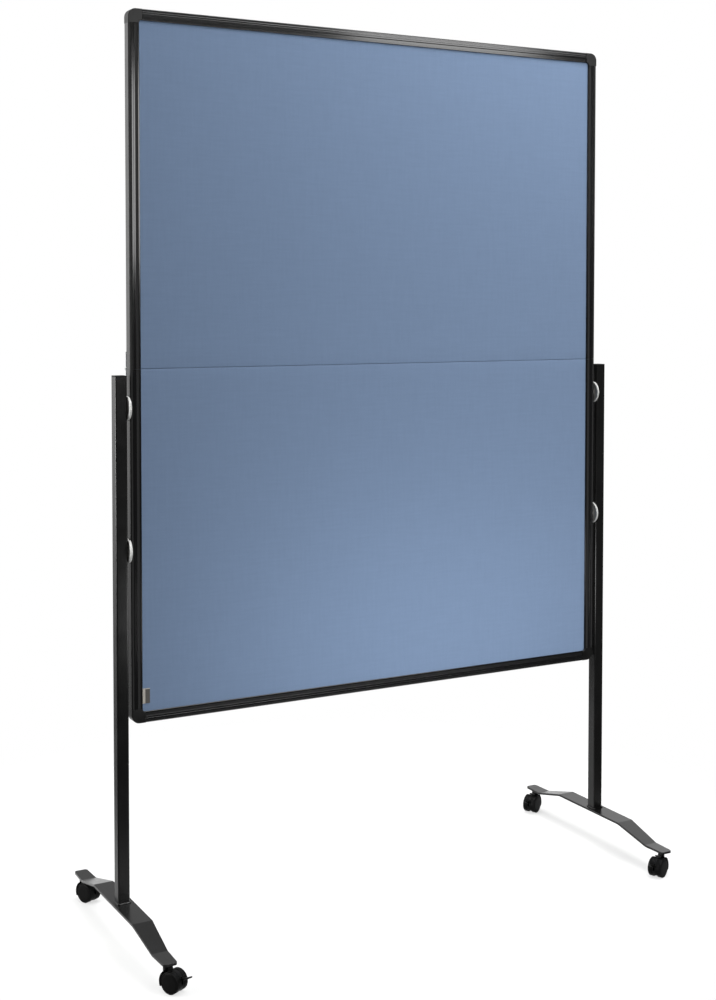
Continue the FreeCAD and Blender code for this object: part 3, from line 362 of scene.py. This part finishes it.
@functools.cache
def woven_cloth():
    # Plain-woven polyester: matt threads over and under each other, with a faint heather of random tone.
    # Real threads are about 0.6 mm apart; drawn at the thread pitch so that they show.
    material, tree, place = new_material("woven_polyester_cloth")
    cloth = chosen().fabric
    waver = add(tree, "ShaderNodeTexNoise", inputs={"Vector": place, "Scale": 1 / (14 * MM), "Detail": 2.0})
    sway = tinted(tree, waver.outputs["Color"], 0.9 * MM)
    threads = add(tree, "ShaderNodeVectorMath", {"operation": "ADD"}, {0: place, 1: sway}).outputs["Vector"]
    bands = WAVE_SCALE / cloth.thread_pitch
    warp = add(tree, "ShaderNodeTexWave", {"bands_direction": "X"}, {"Vector": threads, "Scale": bands})
    weft = add(tree, "ShaderNodeTexWave", {"bands_direction": "Z"}, {"Vector": threads, "Scale": bands})
    over = add(tree, "ShaderNodeTexChecker", inputs={"Vector": threads, "Scale": 1 / cloth.thread_pitch})
    weave = add(tree, "ShaderNodeMix", inputs={
        "Factor": over.outputs["Fac"], "A": warp.outputs["Fac"], "B": weft.outputs["Fac"]})
    thick, long = 1 / (5 * MM), 1 / (60 * MM)
    slubs = []
    for stretch in ((thick, thick, long), (long, thick, thick)):
        drawn = add(tree, "ShaderNodeMapping", inputs={"Vector": place, "Scale": stretch})
        slubs.append(add(tree, "ShaderNodeTexNoise", inputs={
            "Vector": drawn.outputs["Vector"], "Scale": 1.0, "Detail": 3.0}))
    heather = add(tree, "ShaderNodeMix", inputs={
        "Factor": 0.5, "A": slubs[0].outputs["Fac"], "B": slubs[1].outputs["Fac"]})
    mixed = add(tree, "ShaderNodeMix", inputs={
        "Factor": 0.6, "A": weave.outputs["Result"], "B": heather.outputs["Result"]})
    faint = add(tree, "ShaderNodeMapRange", inputs={
        "Value": mixed.outputs["Result"], "To Min": 0.1, "To Max": 0.9})
    # The weave paints a highlight on each thread's top and shade in the hollows between threads.
    colour = add(tree, "ShaderNodeMix", {"data_type": "RGBA"}, {
        "Factor": faint.outputs["Result"], MIX_A: rgba(cloth.thread_shade_and_dark_heather), MIX_B: rgba(cloth.lit_thread_and_light_heather)})
    close_material(
        tree, Base_Color=colour.outputs[MIX_OUT], Roughness=0.92,
        Normal=bumped(tree, weave.outputs["Result"], 0.35, 0.3 * MM),
        Specular_IOR_Level=0.2, Sheen_Weight=0.15, Sheen_Roughness=0.5)
    return material


@functools.cache
def ribbon(left, top):
    # Woven ribbon: tight ribs across a dark, slightly silky band, a painted edge highlight and a paler top.
    # Real ribs are about 0.4 mm apart; drawn 0.9 mm apart so that they show.
    material, tree, place = new_material("woven_ribbon")
    cloth = chosen().fabric
    ribs = add(tree, "ShaderNodeTexWave", {"bands_direction": "Z"}, {
        "Vector": place, "Scale": WAVE_SCALE / (0.9 * MM), "Distortion": 0.4})
    # The ribs are painted lighter on their tops and darker between them: painted shade.
    painted_rib_shade = add(tree, "ShaderNodeMapRange", inputs={
        "Value": ribs.outputs["Fac"], "To Min": 0.75, "To Max": 1.2})
    parts = add(tree, "ShaderNodeSeparateXYZ", inputs={"Vector": place})
    # A paler band along the top of the tab
    pale_top_band = add(tree, "ShaderNodeMapRange", {"interpolation_type": "SMOOTHSTEP"}, {
        "Value": parts.outputs["Z"], "From Min": top - 2.2 * MM, "From Max": top - 1.2 * MM})
    # A painted highlight down the tab's left edge
    painted_edge_highlight = add(tree, "ShaderNodeMapRange", {"interpolation_type": "SMOOTHSTEP"}, {
        "Value": parts.outputs["X"], "From Min": left + 6.5 * MM, "From Max": left + 5.5 * MM})
    pale = add(tree, "ShaderNodeMath", {"operation": "MAXIMUM"}, {
        0: pale_top_band.outputs["Result"], 1: painted_edge_highlight.outputs["Result"]})
    shade = add(tree, "ShaderNodeMix", {"data_type": "RGBA"}, {
        "Factor": pale.outputs["Value"], MIX_A: rgba(cloth.tab_colour), MIX_B: rgba(cloth.tab_highlight_and_top)})
    close_material(
        tree, Base_Color=tinted(tree, shade.outputs[MIX_OUT], painted_rib_shade.outputs["Result"]), Roughness=0.55,
        Normal=bumped(tree, ribs.outputs["Fac"], 0.4, 0.15 * MM), Sheen_Weight=0.3, Sheen_Roughness=0.4)
    return material


@functools.cache
def raw_board(name, light, dark, grain):
    # Unfinished inner board: dull fibres drawn out along the board's width.
    material, tree, place = new_material(name)
    stretch = add(tree, "ShaderNodeMapping", inputs={
        "Vector": place, "Scale": (1 / (12 * grain), 1 / grain, 1 / grain)})
    fibres = add(tree, "ShaderNodeTexNoise", inputs={
        "Vector": stretch.outputs["Vector"], "Scale": 1.0, "Detail": 6.0})
    colour = add(tree, "ShaderNodeMix", {"data_type": "RGBA"}, {
        "Factor": fibres.outputs["Fac"], MIX_A: rgba(linear(dark)), MIX_B: rgba(linear(light))})
    close_material(tree, Base_Color=colour.outputs[MIX_OUT], Roughness=0.85,
                   Normal=bumped(tree, fibres.outputs["Fac"], 0.4, 0.3 * MM))
    return material


# Modelling
def clear_selection():
    if bpy.context.object and bpy.context.object.mode != "OBJECT":
        bpy.ops.object.mode_set(mode="OBJECT")
    bpy.ops.object.select_all(action="DESELECT")


def make_active(piece):
    clear_selection()
    piece.select_set(True)
    bpy.context.view_layer.objects.active = piece


def select_faces(piece, side):
    """In edit mode, select the faces that look to one side."""
    bpy.ops.mesh.select_mode(type="FACE")
    bpy.ops.mesh.select_all(action="DESELECT")
    bpy.ops.object.mode_set(mode="OBJECT")
    for face in piece.data.polygons:
        face.select = face.normal.dot(side) > 0.9
    bpy.ops.object.mode_set(mode="EDIT")


def select_edges(piece, wanted):
    """In edit mode, select the edges whose two ends both pass the test."""
    bpy.ops.mesh.select_mode(type="EDGE")
    bpy.ops.mesh.select_all(action="DESELECT")
    bpy.ops.object.mode_set(mode="OBJECT")
    points = piece.data.vertices
    for edge in piece.data.edges:
        edge.select = all(wanted(points[end].co) for end in edge.vertices)
    bpy.ops.object.mode_set(mode="EDIT")


def push(x, y, z):
    """Extrude what is selected by a step."""
    bpy.ops.mesh.extrude_region_move(TRANSFORM_OT_translate={"value": (x, y, z)})


def apply_modifier(piece, kind, **options):
    make_active(piece)
    modifier = piece.modifiers.new(kind.title(), kind)
    for name, value in options.items():
        setattr(modifier, name, value)
    bpy.ops.object.modifier_apply(modifier=modifier.name)


def apply_place(piece):
    make_active(piece)
    bpy.ops.object.transform_apply(location=True, rotation=True, scale=True)


def set_down(piece, name, material, node):
    """Name a piece, give it its material, and let it stand for a node on the node's body."""
    piece.name = name
    piece.data.name = name
    piece.data.materials.clear()
    piece.data.materials.append(material)
    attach(piece, BODY_OF[node])
    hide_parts(node)
    return piece


def copied(model, place):
    """A copy of a modelled piece with its own mesh, set in its place."""
    piece = bpy.data.objects.new(model.name, model.data.copy())
    bpy.context.scene.collection.objects.link(piece)
    piece.matrix_world = place
    apply_place(piece)
    return piece


def paint(node, material):
    """Give a frame node a better material."""
    shown = NODES[node]
    if not shown.material_slots:
        shown.data.materials.append(material)
    for slot in shown.material_slots:
        slot.material = material


def round_edges(piece, radius, segments, angle=ROUNDED_ANGLE):
    """Round the edges above an angle, and shade the piece smooth."""
    apply_modifier(piece, "BEVEL", width=radius, segments=segments, limit_method="ANGLE", angle_limit=angle)
    bpy.ops.object.shade_smooth_by_angle(angle=HARD_SMOOTH)


def eased(node, material, radius, segments=2):
    """A copy of a frame node with its hard edges rounded as tools and moulds leave them."""
    piece = bpy.data.objects.new(node, NODES[node].data.copy())
    bpy.context.scene.collection.objects.link(piece)
    make_active(piece)
    bpy.ops.object.mode_set(mode="EDIT")
    bpy.ops.mesh.select_all(action="SELECT")
    bpy.ops.mesh.remove_doubles(threshold=TINY)
    bpy.ops.mesh.dissolve_limited(angle_limit=FLAT_ANGLE)
    bpy.ops.object.mode_set(mode="OBJECT")
    round_edges(piece, radius, segments, EASED_ANGLE)
    apply_modifier(piece, "WEIGHTED_NORMAL", keep_sharp=True)
    return set_down(piece, node + "_eased", material, node)


# Pieces
class PINBOARD_OT_fabric_faces(bpy.types.Operator):
    """Stretch cloth over both faces of both halves and round their edges at the fold"""

    bl_idname = "pinboard.fabric_faces"
    bl_label = "Fabric Faces"

    def execute(self, context):
        for half in HALVES:
            for side in ("front", "back"):
                self.stretch(half, side)
        return {"FINISHED"}

    def stretch(self, half, side):
        cloth = chosen().fabric
        node = f"{half}_{side}_fabric"
        low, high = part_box(node)
        face_y, lap_y = (low.y, high.y) if side == "front" else (high.y, low.y)
        seam_z = high.z if half == "lower" else low.z
        turn = math.pi / 2 if side == "front" else -math.pi / 2
        middle = (low + high) / 2
        clear_selection()
        bpy.ops.mesh.primitive_grid_add(
            x_subdivisions=40, y_subdivisions=24, size=1,
            location=(middle.x, face_y, middle.z), rotation=(turn, 0, 0))
        piece = bpy.context.object
        piece.scale = (high.x - low.x, high.z - low.z, 1)
        apply_place(piece)
        bpy.ops.object.mode_set(mode="EDIT")

        def at_seam(point):
            return abs(point.z - seam_z) < TINY and abs(point.y - face_y) < TINY

        select_edges(piece, at_seam)
        push(0, lap_y - face_y, 0)
        select_edges(piece, at_seam)
        bpy.ops.mesh.bevel(offset=cloth.seam_round, segments=5, affect="EDGES")
        bpy.ops.object.mode_set(mode="OBJECT")
        apply_modifier(piece, "SOLIDIFY", thickness=cloth.thickness, offset=-1)
        bpy.ops.object.shade_smooth_by_angle(angle=CLOTH_SMOOTH)
        set_down(piece, f"{half}_{side}_cloth", woven_cloth(), node)


class PINBOARD_OT_edge_tab(bpy.types.Operator):
    """Fold a short plain ribbon into a tab at the edge of the cloth"""

    bl_idname = "pinboard.edge_tab"
    bl_label = "Edge Tab"

    def execute(self, context):
        thickness = chosen().fabric.ribbon_thickness
        low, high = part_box("edge_tab")
        width = high.x - low.x
        height = high.z - low.z
        fold = 0.5 * MM
        columns = 8
        clear_selection()
        bpy.ops.mesh.primitive_grid_add(
            x_subdivisions=columns, y_subdivisions=12, size=1,
            location=((low.x + high.x) / 2, high.y - thickness, (low.z + high.z) / 2),
            rotation=(math.pi / 2, 0, 0))
        tab = bpy.context.object
        tab.scale = (width, height, 1)
        apply_place(tab)
        bpy.ops.object.mode_set(mode="EDIT")
        select_edges(tab, lambda point: abs(point.x - high.x) < TINY)
        bpy.ops.mesh.spin(
            steps=6, angle=math.pi, center=(high.x, high.y - thickness - fold, 0), axis=(0, 0, 1))
        for _ in range(columns):
            push(-width / columns, 0, 0)
        bpy.ops.mesh.select_all(action="SELECT")
        bpy.ops.mesh.remove_doubles(threshold=TINY)
        bpy.ops.object.mode_set(mode="OBJECT")
        apply_modifier(tab, "SOLIDIFY", thickness=thickness, offset=0)
        bpy.ops.object.shade_smooth_by_angle(angle=CLOTH_SMOOTH)
        set_down(tab, "folded_edge_tab", ribbon(low.x, high.z), "edge_tab")
        return {"FINISHED"}


class PINBOARD_OT_frame_profiles(bpy.types.Operator):
    """Ease the edges of the frame's profiles and corner caps"""

    bl_idname = "pinboard.frame_profiles"
    bl_label = "Frame Profiles"

    def execute(self, context):
        rounding = chosen().metal.edge_round
        for half in HALVES:
            for side in SIDES:
                eased(f"{half}_{side}_profile", anodised_aluminium("upright"), rounding)
            eased(f"{half}_corner_caps", moulded_nylon("corner"), rounding)
        for run in ("bottom", "top"):
            eased(f"{run}_profile", anodised_aluminium(run), rounding)
        return {"FINISHED"}


class PINBOARD_OT_posts_and_feet(bpy.types.Operator):
    """Ease the posts, their plugs and the bent feet"""

    bl_idname = "pinboard.posts_and_feet"
    bl_label = "Posts and Feet"

    def execute(self, context):
        rounding = chosen().metal.edge_round
        coat = powder_coat("black_powder_coated_steel", rough=0.22)
        for side in SIDES:
            eased(f"{side}_post", coat, rounding)
            eased(f"{side}_foot", coat, 2 * rounding, 3)
        paint("castor_stems", coat)
        eased("post_end_plugs", moulded_nylon("plug"), 2 * rounding, 3)
        return {"FINISHED"}


class PINBOARD_OT_weld_beads(bpy.types.Operator):
    """Lay a rippled weld bead round the bottom of each post"""

    bl_idname = "pinboard.weld_beads"
    bl_label = "Weld Beads"

    def execute(self, context):
        beads = [self.bead(f"{side}_post") for side in SIDES]
        make_active(beads[0])
        beads[1].select_set(True)
        bpy.ops.object.join()
        coat = powder_coat("black_powder_coated_weld", rough=0.09)
        set_down(beads[0], "post_weld_beads", coat, "post_welds")
        return {"FINISHED"}

    def bead(self, post):
        low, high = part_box(post)
        radius = chosen().metal.bead_radius
        corner_round, ripple_length, ripple_height = 3 * MM, 2.4 * MM, 1.0 * MM
        ripple = bpy.data.textures.new("weld_ripple", "CLOUDS")
        ripple.noise_scale = ripple_length
        clear_selection()
        bpy.ops.mesh.primitive_plane_add(
            size=high.x - low.x + radius,
            location=((low.x + high.x) / 2, (low.y + high.y) / 2, low.z + radius / 2))
        ring = bpy.context.object
        bpy.ops.object.mode_set(mode="EDIT")
        bpy.ops.mesh.select_all(action="SELECT")
        bpy.ops.mesh.bevel(offset=corner_round, segments=4, affect="VERTICES")
        bpy.ops.mesh.delete(type="ONLY_FACE")
        bpy.ops.mesh.select_all(action="SELECT")
        bpy.ops.mesh.subdivide(number_cuts=12)
        bpy.ops.object.mode_set(mode="OBJECT")
        bpy.ops.object.convert(target="CURVE")
        ring.data.bevel_depth = radius
        ring.data.bevel_resolution = 3
        bpy.ops.object.convert(target="MESH")
        apply_place(ring)
        apply_modifier(ring, "DISPLACE", texture=ripple, texture_coords="GLOBAL", strength=ripple_height,
                       mid_level=0.5)
        bpy.ops.object.shade_smooth()
        return ring


class PINBOARD_OT_thumb_screws(bpy.types.Operator):
    """Ease the turned thumb screws that clamp the board to its posts"""

    bl_idname = "pinboard.thumb_screws"
    bl_label = "Thumb Screws"

    def execute(self, context):
        for clamp in CLAMPS:
            height = JOINTS[f"thumb_screw_{clamp}_turn"]["pos_m"][2]
            eased(f"thumb_screw_{clamp}", turned_aluminium(height), THUMB_SCREW_ROUND)
        return {"FINISHED"}


class PINBOARD_OT_hinges(bpy.types.Operator):
    """Ease the stamped hinge leaves behind the fold, and finish their small parts"""

    bl_idname = "pinboard.hinges"
    bl_label = "Hinges"

    def execute(self, context):
        for half in HALVES:
            eased(f"{half}_hinge_leaves", zinc_plated_steel(), LEAF_ROUND)
            eased(f"{half}_hinge_screws", zinc_plated_steel(), SCREW_ROUND)
        for node in ("hinge_pins", "strike_plates"):
            paint(node, zinc_plated_steel())
        return {"FINISHED"}


class PINBOARD_OT_inner_parts(bpy.types.Operator):
    """Finish the parts inside the board and the clamps"""

    bl_idname = "pinboard.inner_parts"
    bl_label = "Inner Parts"

    def execute(self, context):
        for half in HALVES:
            fibre = raw_board("soft_fibre_board", light="#b39d7c", dark="#8d7757", grain=1.2 * MM)
            pine = raw_board("planed_pine", light="#d8b98a", dark="#b98f5c", grain=2.5 * MM)
            paint(f"{half}_core", fibre)
            paint(f"{half}_seam_batten", pine)
        for node in ("frame_inserts", "post_bushes", "catch_magnets"):
            paint(node, moulded_nylon("fitting"))
        return {"FINISHED"}


class PINBOARD_OT_castor_hoods(bpy.types.Operator):
    """Ease the moulded castor hoods and finish their axles"""

    bl_idname = "pinboard.castor_hoods"
    bl_label = "Castor Hoods"

    def execute(self, context):
        for corner in CORNERS:
            eased(f"castor_{corner}_hood", moulded_nylon("castor"), HOOD_ROUND, 3)
            paint(f"castor_{corner}_axle", zinc_plated_steel())
        return {"FINISHED"}


class PINBOARD_OT_castor_wheels(bpy.types.Operator):
    """Shape one castor wheel and set a copy on each end of every axle"""

    bl_idname = "pinboard.castor_wheels"
    bl_label = "Castor Wheels"

    def execute(self, context):
        model = self.model()
        for corner in CORNERS:
            for letter in "ab":
                node = f"castor_{corner}_wheel_{letter}"
                low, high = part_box(node)
                centre = (low + high) / 2
                outward = centre - Vector(JOINTS[node + "_roll"]["pos_m"])
                facing = UP.rotation_difference(outward).to_matrix().to_4x4()
                wheel = copied(model, Matrix.Translation(centre) @ facing)
                set_down(wheel, node + "_turned", moulded_nylon("wheel"), node)
        bpy.data.objects.remove(model)
        return {"FINISHED"}

    def model(self):
        """A wheel at the origin, with its outer face up."""
        castor = chosen().castor
        low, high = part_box("castor_front_left_wheel_a")
        radius = (high.z - low.z) / 2
        clear_selection()
        bpy.ops.mesh.primitive_cylinder_add(
            vertices=castor.wheel_sides, radius=radius, depth=castor.wheel_width)
        wheel = bpy.context.object
        wheel.name = "castor_wheel_model"
        bpy.ops.object.mode_set(mode="EDIT")
        select_faces(wheel, UP)
        rim_width, groove_depth, groove_width, face_rise = 2.4 * MM, 0.6 * MM, 0.7 * MM, 0.5 * MM
        set_back, tread_round, edge_round = 0.4 * MM, 1.4 * MM, 0.18 * MM
        # Steps inward over the domed face and the rise of each, in millimetres
        dome = ((0.5, 0.2), (5, 0.15), (6, 0.08), (5, 0.02))
        bpy.ops.transform.translate(value=(0, 0, -set_back))
        bpy.ops.mesh.inset(thickness=rim_width)
        push(0, 0, -groove_depth)
        bpy.ops.mesh.inset(thickness=groove_width)
        push(0, 0, face_rise)
        for step, rise in dome:
            bpy.ops.mesh.inset(thickness=step * MM, depth=rise * MM)
        select_faces(wheel, -UP)
        tread_wall, hollow = 4 * MM, 2 * MM
        bpy.ops.mesh.inset(thickness=tread_wall)
        push(0, 0, hollow)

        def on_tread(point):
            return abs(math.hypot(point.x, point.y) - radius) < 0.01 * MM

        for side in (1, -1):
            select_edges(wheel, lambda point: on_tread(point) and point.z * side > 0)
            bpy.ops.mesh.bevel(offset=tread_round, segments=5, affect="EDGES")
        bpy.ops.object.mode_set(mode="OBJECT")
        round_edges(wheel, edge_round, 2)
        return wheel


class PINBOARD_OT_brake_levers(bpy.types.Operator):
    """Shape one brake lever and set a copy on every castor"""

    bl_idname = "pinboard.brake_levers"
    bl_label = "Brake Levers"

    def execute(self, context):
        model = self.model()
        for corner in CORNERS:
            node = f"castor_{corner}_brake_lever"
            stem = Vector(JOINTS[f"castor_{corner}_swivel"]["pos_m"])
            pivot = Vector(JOINTS[node + "_press"]["pos_m"])
            trail = math.atan2(pivot.y - stem.y, pivot.x - stem.x)
            lever = copied(model, Matrix.Translation(pivot) @ Matrix.Rotation(trail, 4, "Z"))
            set_down(lever, node + "_shaped", moulded_nylon("lever"), node)
        bpy.data.objects.remove(model)
        return {"FINISHED"}

    def model(self):
        """A lever with its pivot at the origin, pointing along X."""
        width = chosen().castor.lever_width
        root_length, root_height, root_behind = 8.5 * MM, 7 * MM, 0.75 * MM
        reach, lift, steps, taper = 29.5 * MM, 13.8 * MM, 11, 0.93
        edge_round = 0.5 * MM
        clear_selection()
        bpy.ops.mesh.primitive_cube_add(size=1, location=(-root_behind, 0, 0))
        lever = bpy.context.object
        lever.name = "brake_lever_model"
        lever.scale = (root_length, width, root_height)
        apply_place(lever)
        bpy.ops.object.mode_set(mode="EDIT")
        select_faces(lever, Vector((1, 0, 0)))
        for _ in range(steps):
            push(reach / steps, 0, lift / steps)
            bpy.ops.transform.resize(value=(1, 1, taper))
        bpy.ops.object.mode_set(mode="OBJECT")
        round_edges(lever, edge_round, 3)
        return lever


class PINBOARD_OT_stage(bpy.types.Operator):
    """Set the camera, the pale floor and soft studio light"""

    bl_idname = "pinboard.stage"
    bl_label = "Stage"

    def execute(self, context):
        context.scene.view_settings.view_transform = "Standard"
        self.camera(context)
        self.floor()
        self.surroundings(context)
        for light in LIGHTS:
            self.softbox(*light)
        return {"FINISHED"}

    def camera(self, context):
        stage = chosen().stage
        clear_selection()
        bpy.ops.object.camera_add(
            location=stage.camera_place,
            rotation=(math.pi / 2 - stage.camera_dip, 0, -stage.camera_heading))
        camera = context.object
        camera.rotation_euler.rotate_axis("Z", stage.camera_roll)
        camera.data.lens = stage.lens
        camera.data.sensor_width = 36
        camera.data.shift_x = stage.shift_x
        camera.data.shift_y = stage.shift_y
        context.scene.camera = camera

    def floor(self):
        stage = chosen().stage
        clear_selection()
        bpy.ops.mesh.primitive_circle_add(
            vertices=96, radius=stage.floor_size / 2, fill_type="NGON", location=(0, 0.3, -0.2 * MM))
        floor = bpy.context.object
        floor.name = "studio_floor"
        # Matt painted floor, which thins out to the white of the studio away from the object.
        material, tree, place = new_material("painted_studio_floor")
        roller = add(tree, "ShaderNodeTexNoise", inputs={"Vector": place, "Scale": 1 / (9 * MM)})
        coat = add(tree, "ShaderNodeBsdfPrincipled", inputs={
            "Base Color": rgba(stage.floor_colour), "Roughness": 0.9, "Specular IOR Level": 0.1,
            "Normal": bumped(tree, roller.outputs["Fac"], 0.05, 0.3 * MM)})
        distance = add(tree, "ShaderNodeVectorMath", {"operation": "LENGTH"}, {0: place})
        thin = add(tree, "ShaderNodeMapRange", {"interpolation_type": "SMOOTHSTEP"}, {
            "Value": distance.outputs["Value"], "From Min": 0.3 * stage.floor_size,
            "From Max": 0.5 * stage.floor_size, "To Min": 0.6})
        clear = add(tree, "ShaderNodeBsdfTransparent")
        blend = add(tree, "ShaderNodeMixShader", inputs={
            0: thin.outputs["Result"], 1: coat.outputs["BSDF"], 2: clear.outputs["BSDF"]})
        add(tree, "ShaderNodeOutputMaterial", inputs={"Surface": blend.outputs["Shader"]})
        floor.data.materials.append(material)

    def surroundings(self, context):
        """White to the camera; in reflections bright low down and to both sides at the back, else dim."""
        world = bpy.data.worlds.new("studio")
        context.scene.world = world
        world.use_nodes = True
        tree = world.node_tree
        tree.nodes.clear()
        direction = add(tree, "ShaderNodeTexCoord").outputs["Generated"]
        parts = add(tree, "ShaderNodeSeparateXYZ", inputs={"Vector": direction})

        def ramp(axis, start, stop, dim, bright):
            made = add(tree, "ShaderNodeMapRange", {"interpolation_type": "SMOOTHSTEP"}, {
                "Value": parts.outputs[axis], "From Min": start, "From Max": stop,
                "To Min": dim, "To Max": bright})
            return made.outputs["Result"]

        behind = ramp("Y", 0.1, 0.6, 0.0, 1.0)
        rising = add(tree, "ShaderNodeMapRange", inputs={
            "Value": parts.outputs["Z"], "From Min": -0.24, "From Max": 0.04, "To Min": 0.0, "To Max": 1.45})
        low = ramp("Z", 0.06, -0.06, 0.36, 1.1)
        left = ramp("X", -0.05, -0.35, low, rising.outputs["Result"])
        above = ramp("Z", 0.2, 0.4, 0.0, 1.0)
        right = ramp("X", 0.35, 0.6, 0.0, above)
        sides = add(tree, "ShaderNodeMath", inputs={0: left, 1: right})
        glow = add(tree, "ShaderNodeMath", {"operation": "MULTIPLY_ADD"}, {
            0: behind, 1: sides.outputs["Value"], 2: 0.09})
        seen = add(tree, "ShaderNodeLightPath").outputs["Is Camera Ray"]
        strength = add(tree, "ShaderNodeMix", inputs={"Factor": seen, "A": glow.outputs["Value"], "B": 1.0})
        light = add(tree, "ShaderNodeBackground", inputs={
            "Color": rgba(linear("#ffffff")), "Strength": strength.outputs["Result"]})
        add(tree, "ShaderNodeOutputWorld", inputs={"Surface": light.outputs["Background"]})

    def softbox(self, name, place, aim, size, watts):
        clear_selection()
        bpy.ops.object.light_add(type="AREA", location=place)
        lamp = bpy.context.object
        lamp.name = name
        lamp.rotation_euler = (Vector(aim) - Vector(place)).to_track_quat("-Z", "Y").to_euler()
        lamp.data.shape = "RECTANGLE"
        lamp.data.size, lamp.data.size_y = size
        lamp.data.energy = watts
        lamp.visible_camera = False


PIECES = (
    PINBOARD_OT_fabric_faces,
    PINBOARD_OT_edge_tab,
    PINBOARD_OT_frame_profiles,
    PINBOARD_OT_posts_and_feet,
    PINBOARD_OT_weld_beads,
    PINBOARD_OT_thumb_screws,
    PINBOARD_OT_hinges,
    PINBOARD_OT_inner_parts,
    PINBOARD_OT_castor_hoods,
    PINBOARD_OT_castor_wheels,
    PINBOARD_OT_brake_levers,
    PINBOARD_OT_stage,
)


class PINBOARD_PT_sidebar(bpy.types.Panel):
    """Pieces and settings of the pinboard"""

    bl_idname = "PINBOARD_PT_sidebar"
    bl_label = "Pinboard"
    bl_space_type = "VIEW_3D"
    bl_region_type = "UI"
    bl_category = "Pinboard"

    def draw(self, context):
        for piece in PIECES:
            self.layout.operator(piece.bl_idname)
        for group in (chosen().fabric, chosen().metal, chosen().castor, chosen().stage):
            box = self.layout.box()
            for name in group.__annotations__:
                box.prop(group, name)


CLASSES = (
    FabricSettings, MetalSettings, CastorSettings, StageSettings, PinboardSettings,
    *PIECES, PINBOARD_PT_sidebar)


def register():
    for cls in CLASSES:
        bpy.utils.register_class(cls)
    bpy.types.Scene.pinboard = PointerProperty(
        type=PinboardSettings, name="Pinboard", description="Settings of the pinboard")


def unregister():
    del bpy.types.Scene.pinboard
    for cls in reversed(CLASSES):
        bpy.utils.unregister_class(cls)


def main():
    register()
    bpy.ops.pinboard.fabric_faces()
    bpy.ops.pinboard.edge_tab()
    bpy.ops.pinboard.frame_profiles()
    bpy.ops.pinboard.posts_and_feet()
    bpy.ops.pinboard.weld_beads()
    bpy.ops.pinboard.thumb_screws()
    bpy.ops.pinboard.hinges()
    bpy.ops.pinboard.inner_parts()
    bpy.ops.pinboard.castor_hoods()
    bpy.ops.pinboard.castor_wheels()
    bpy.ops.pinboard.brake_levers()
    bpy.ops.pinboard.stage()


if __name__ == "__main__":
    main()
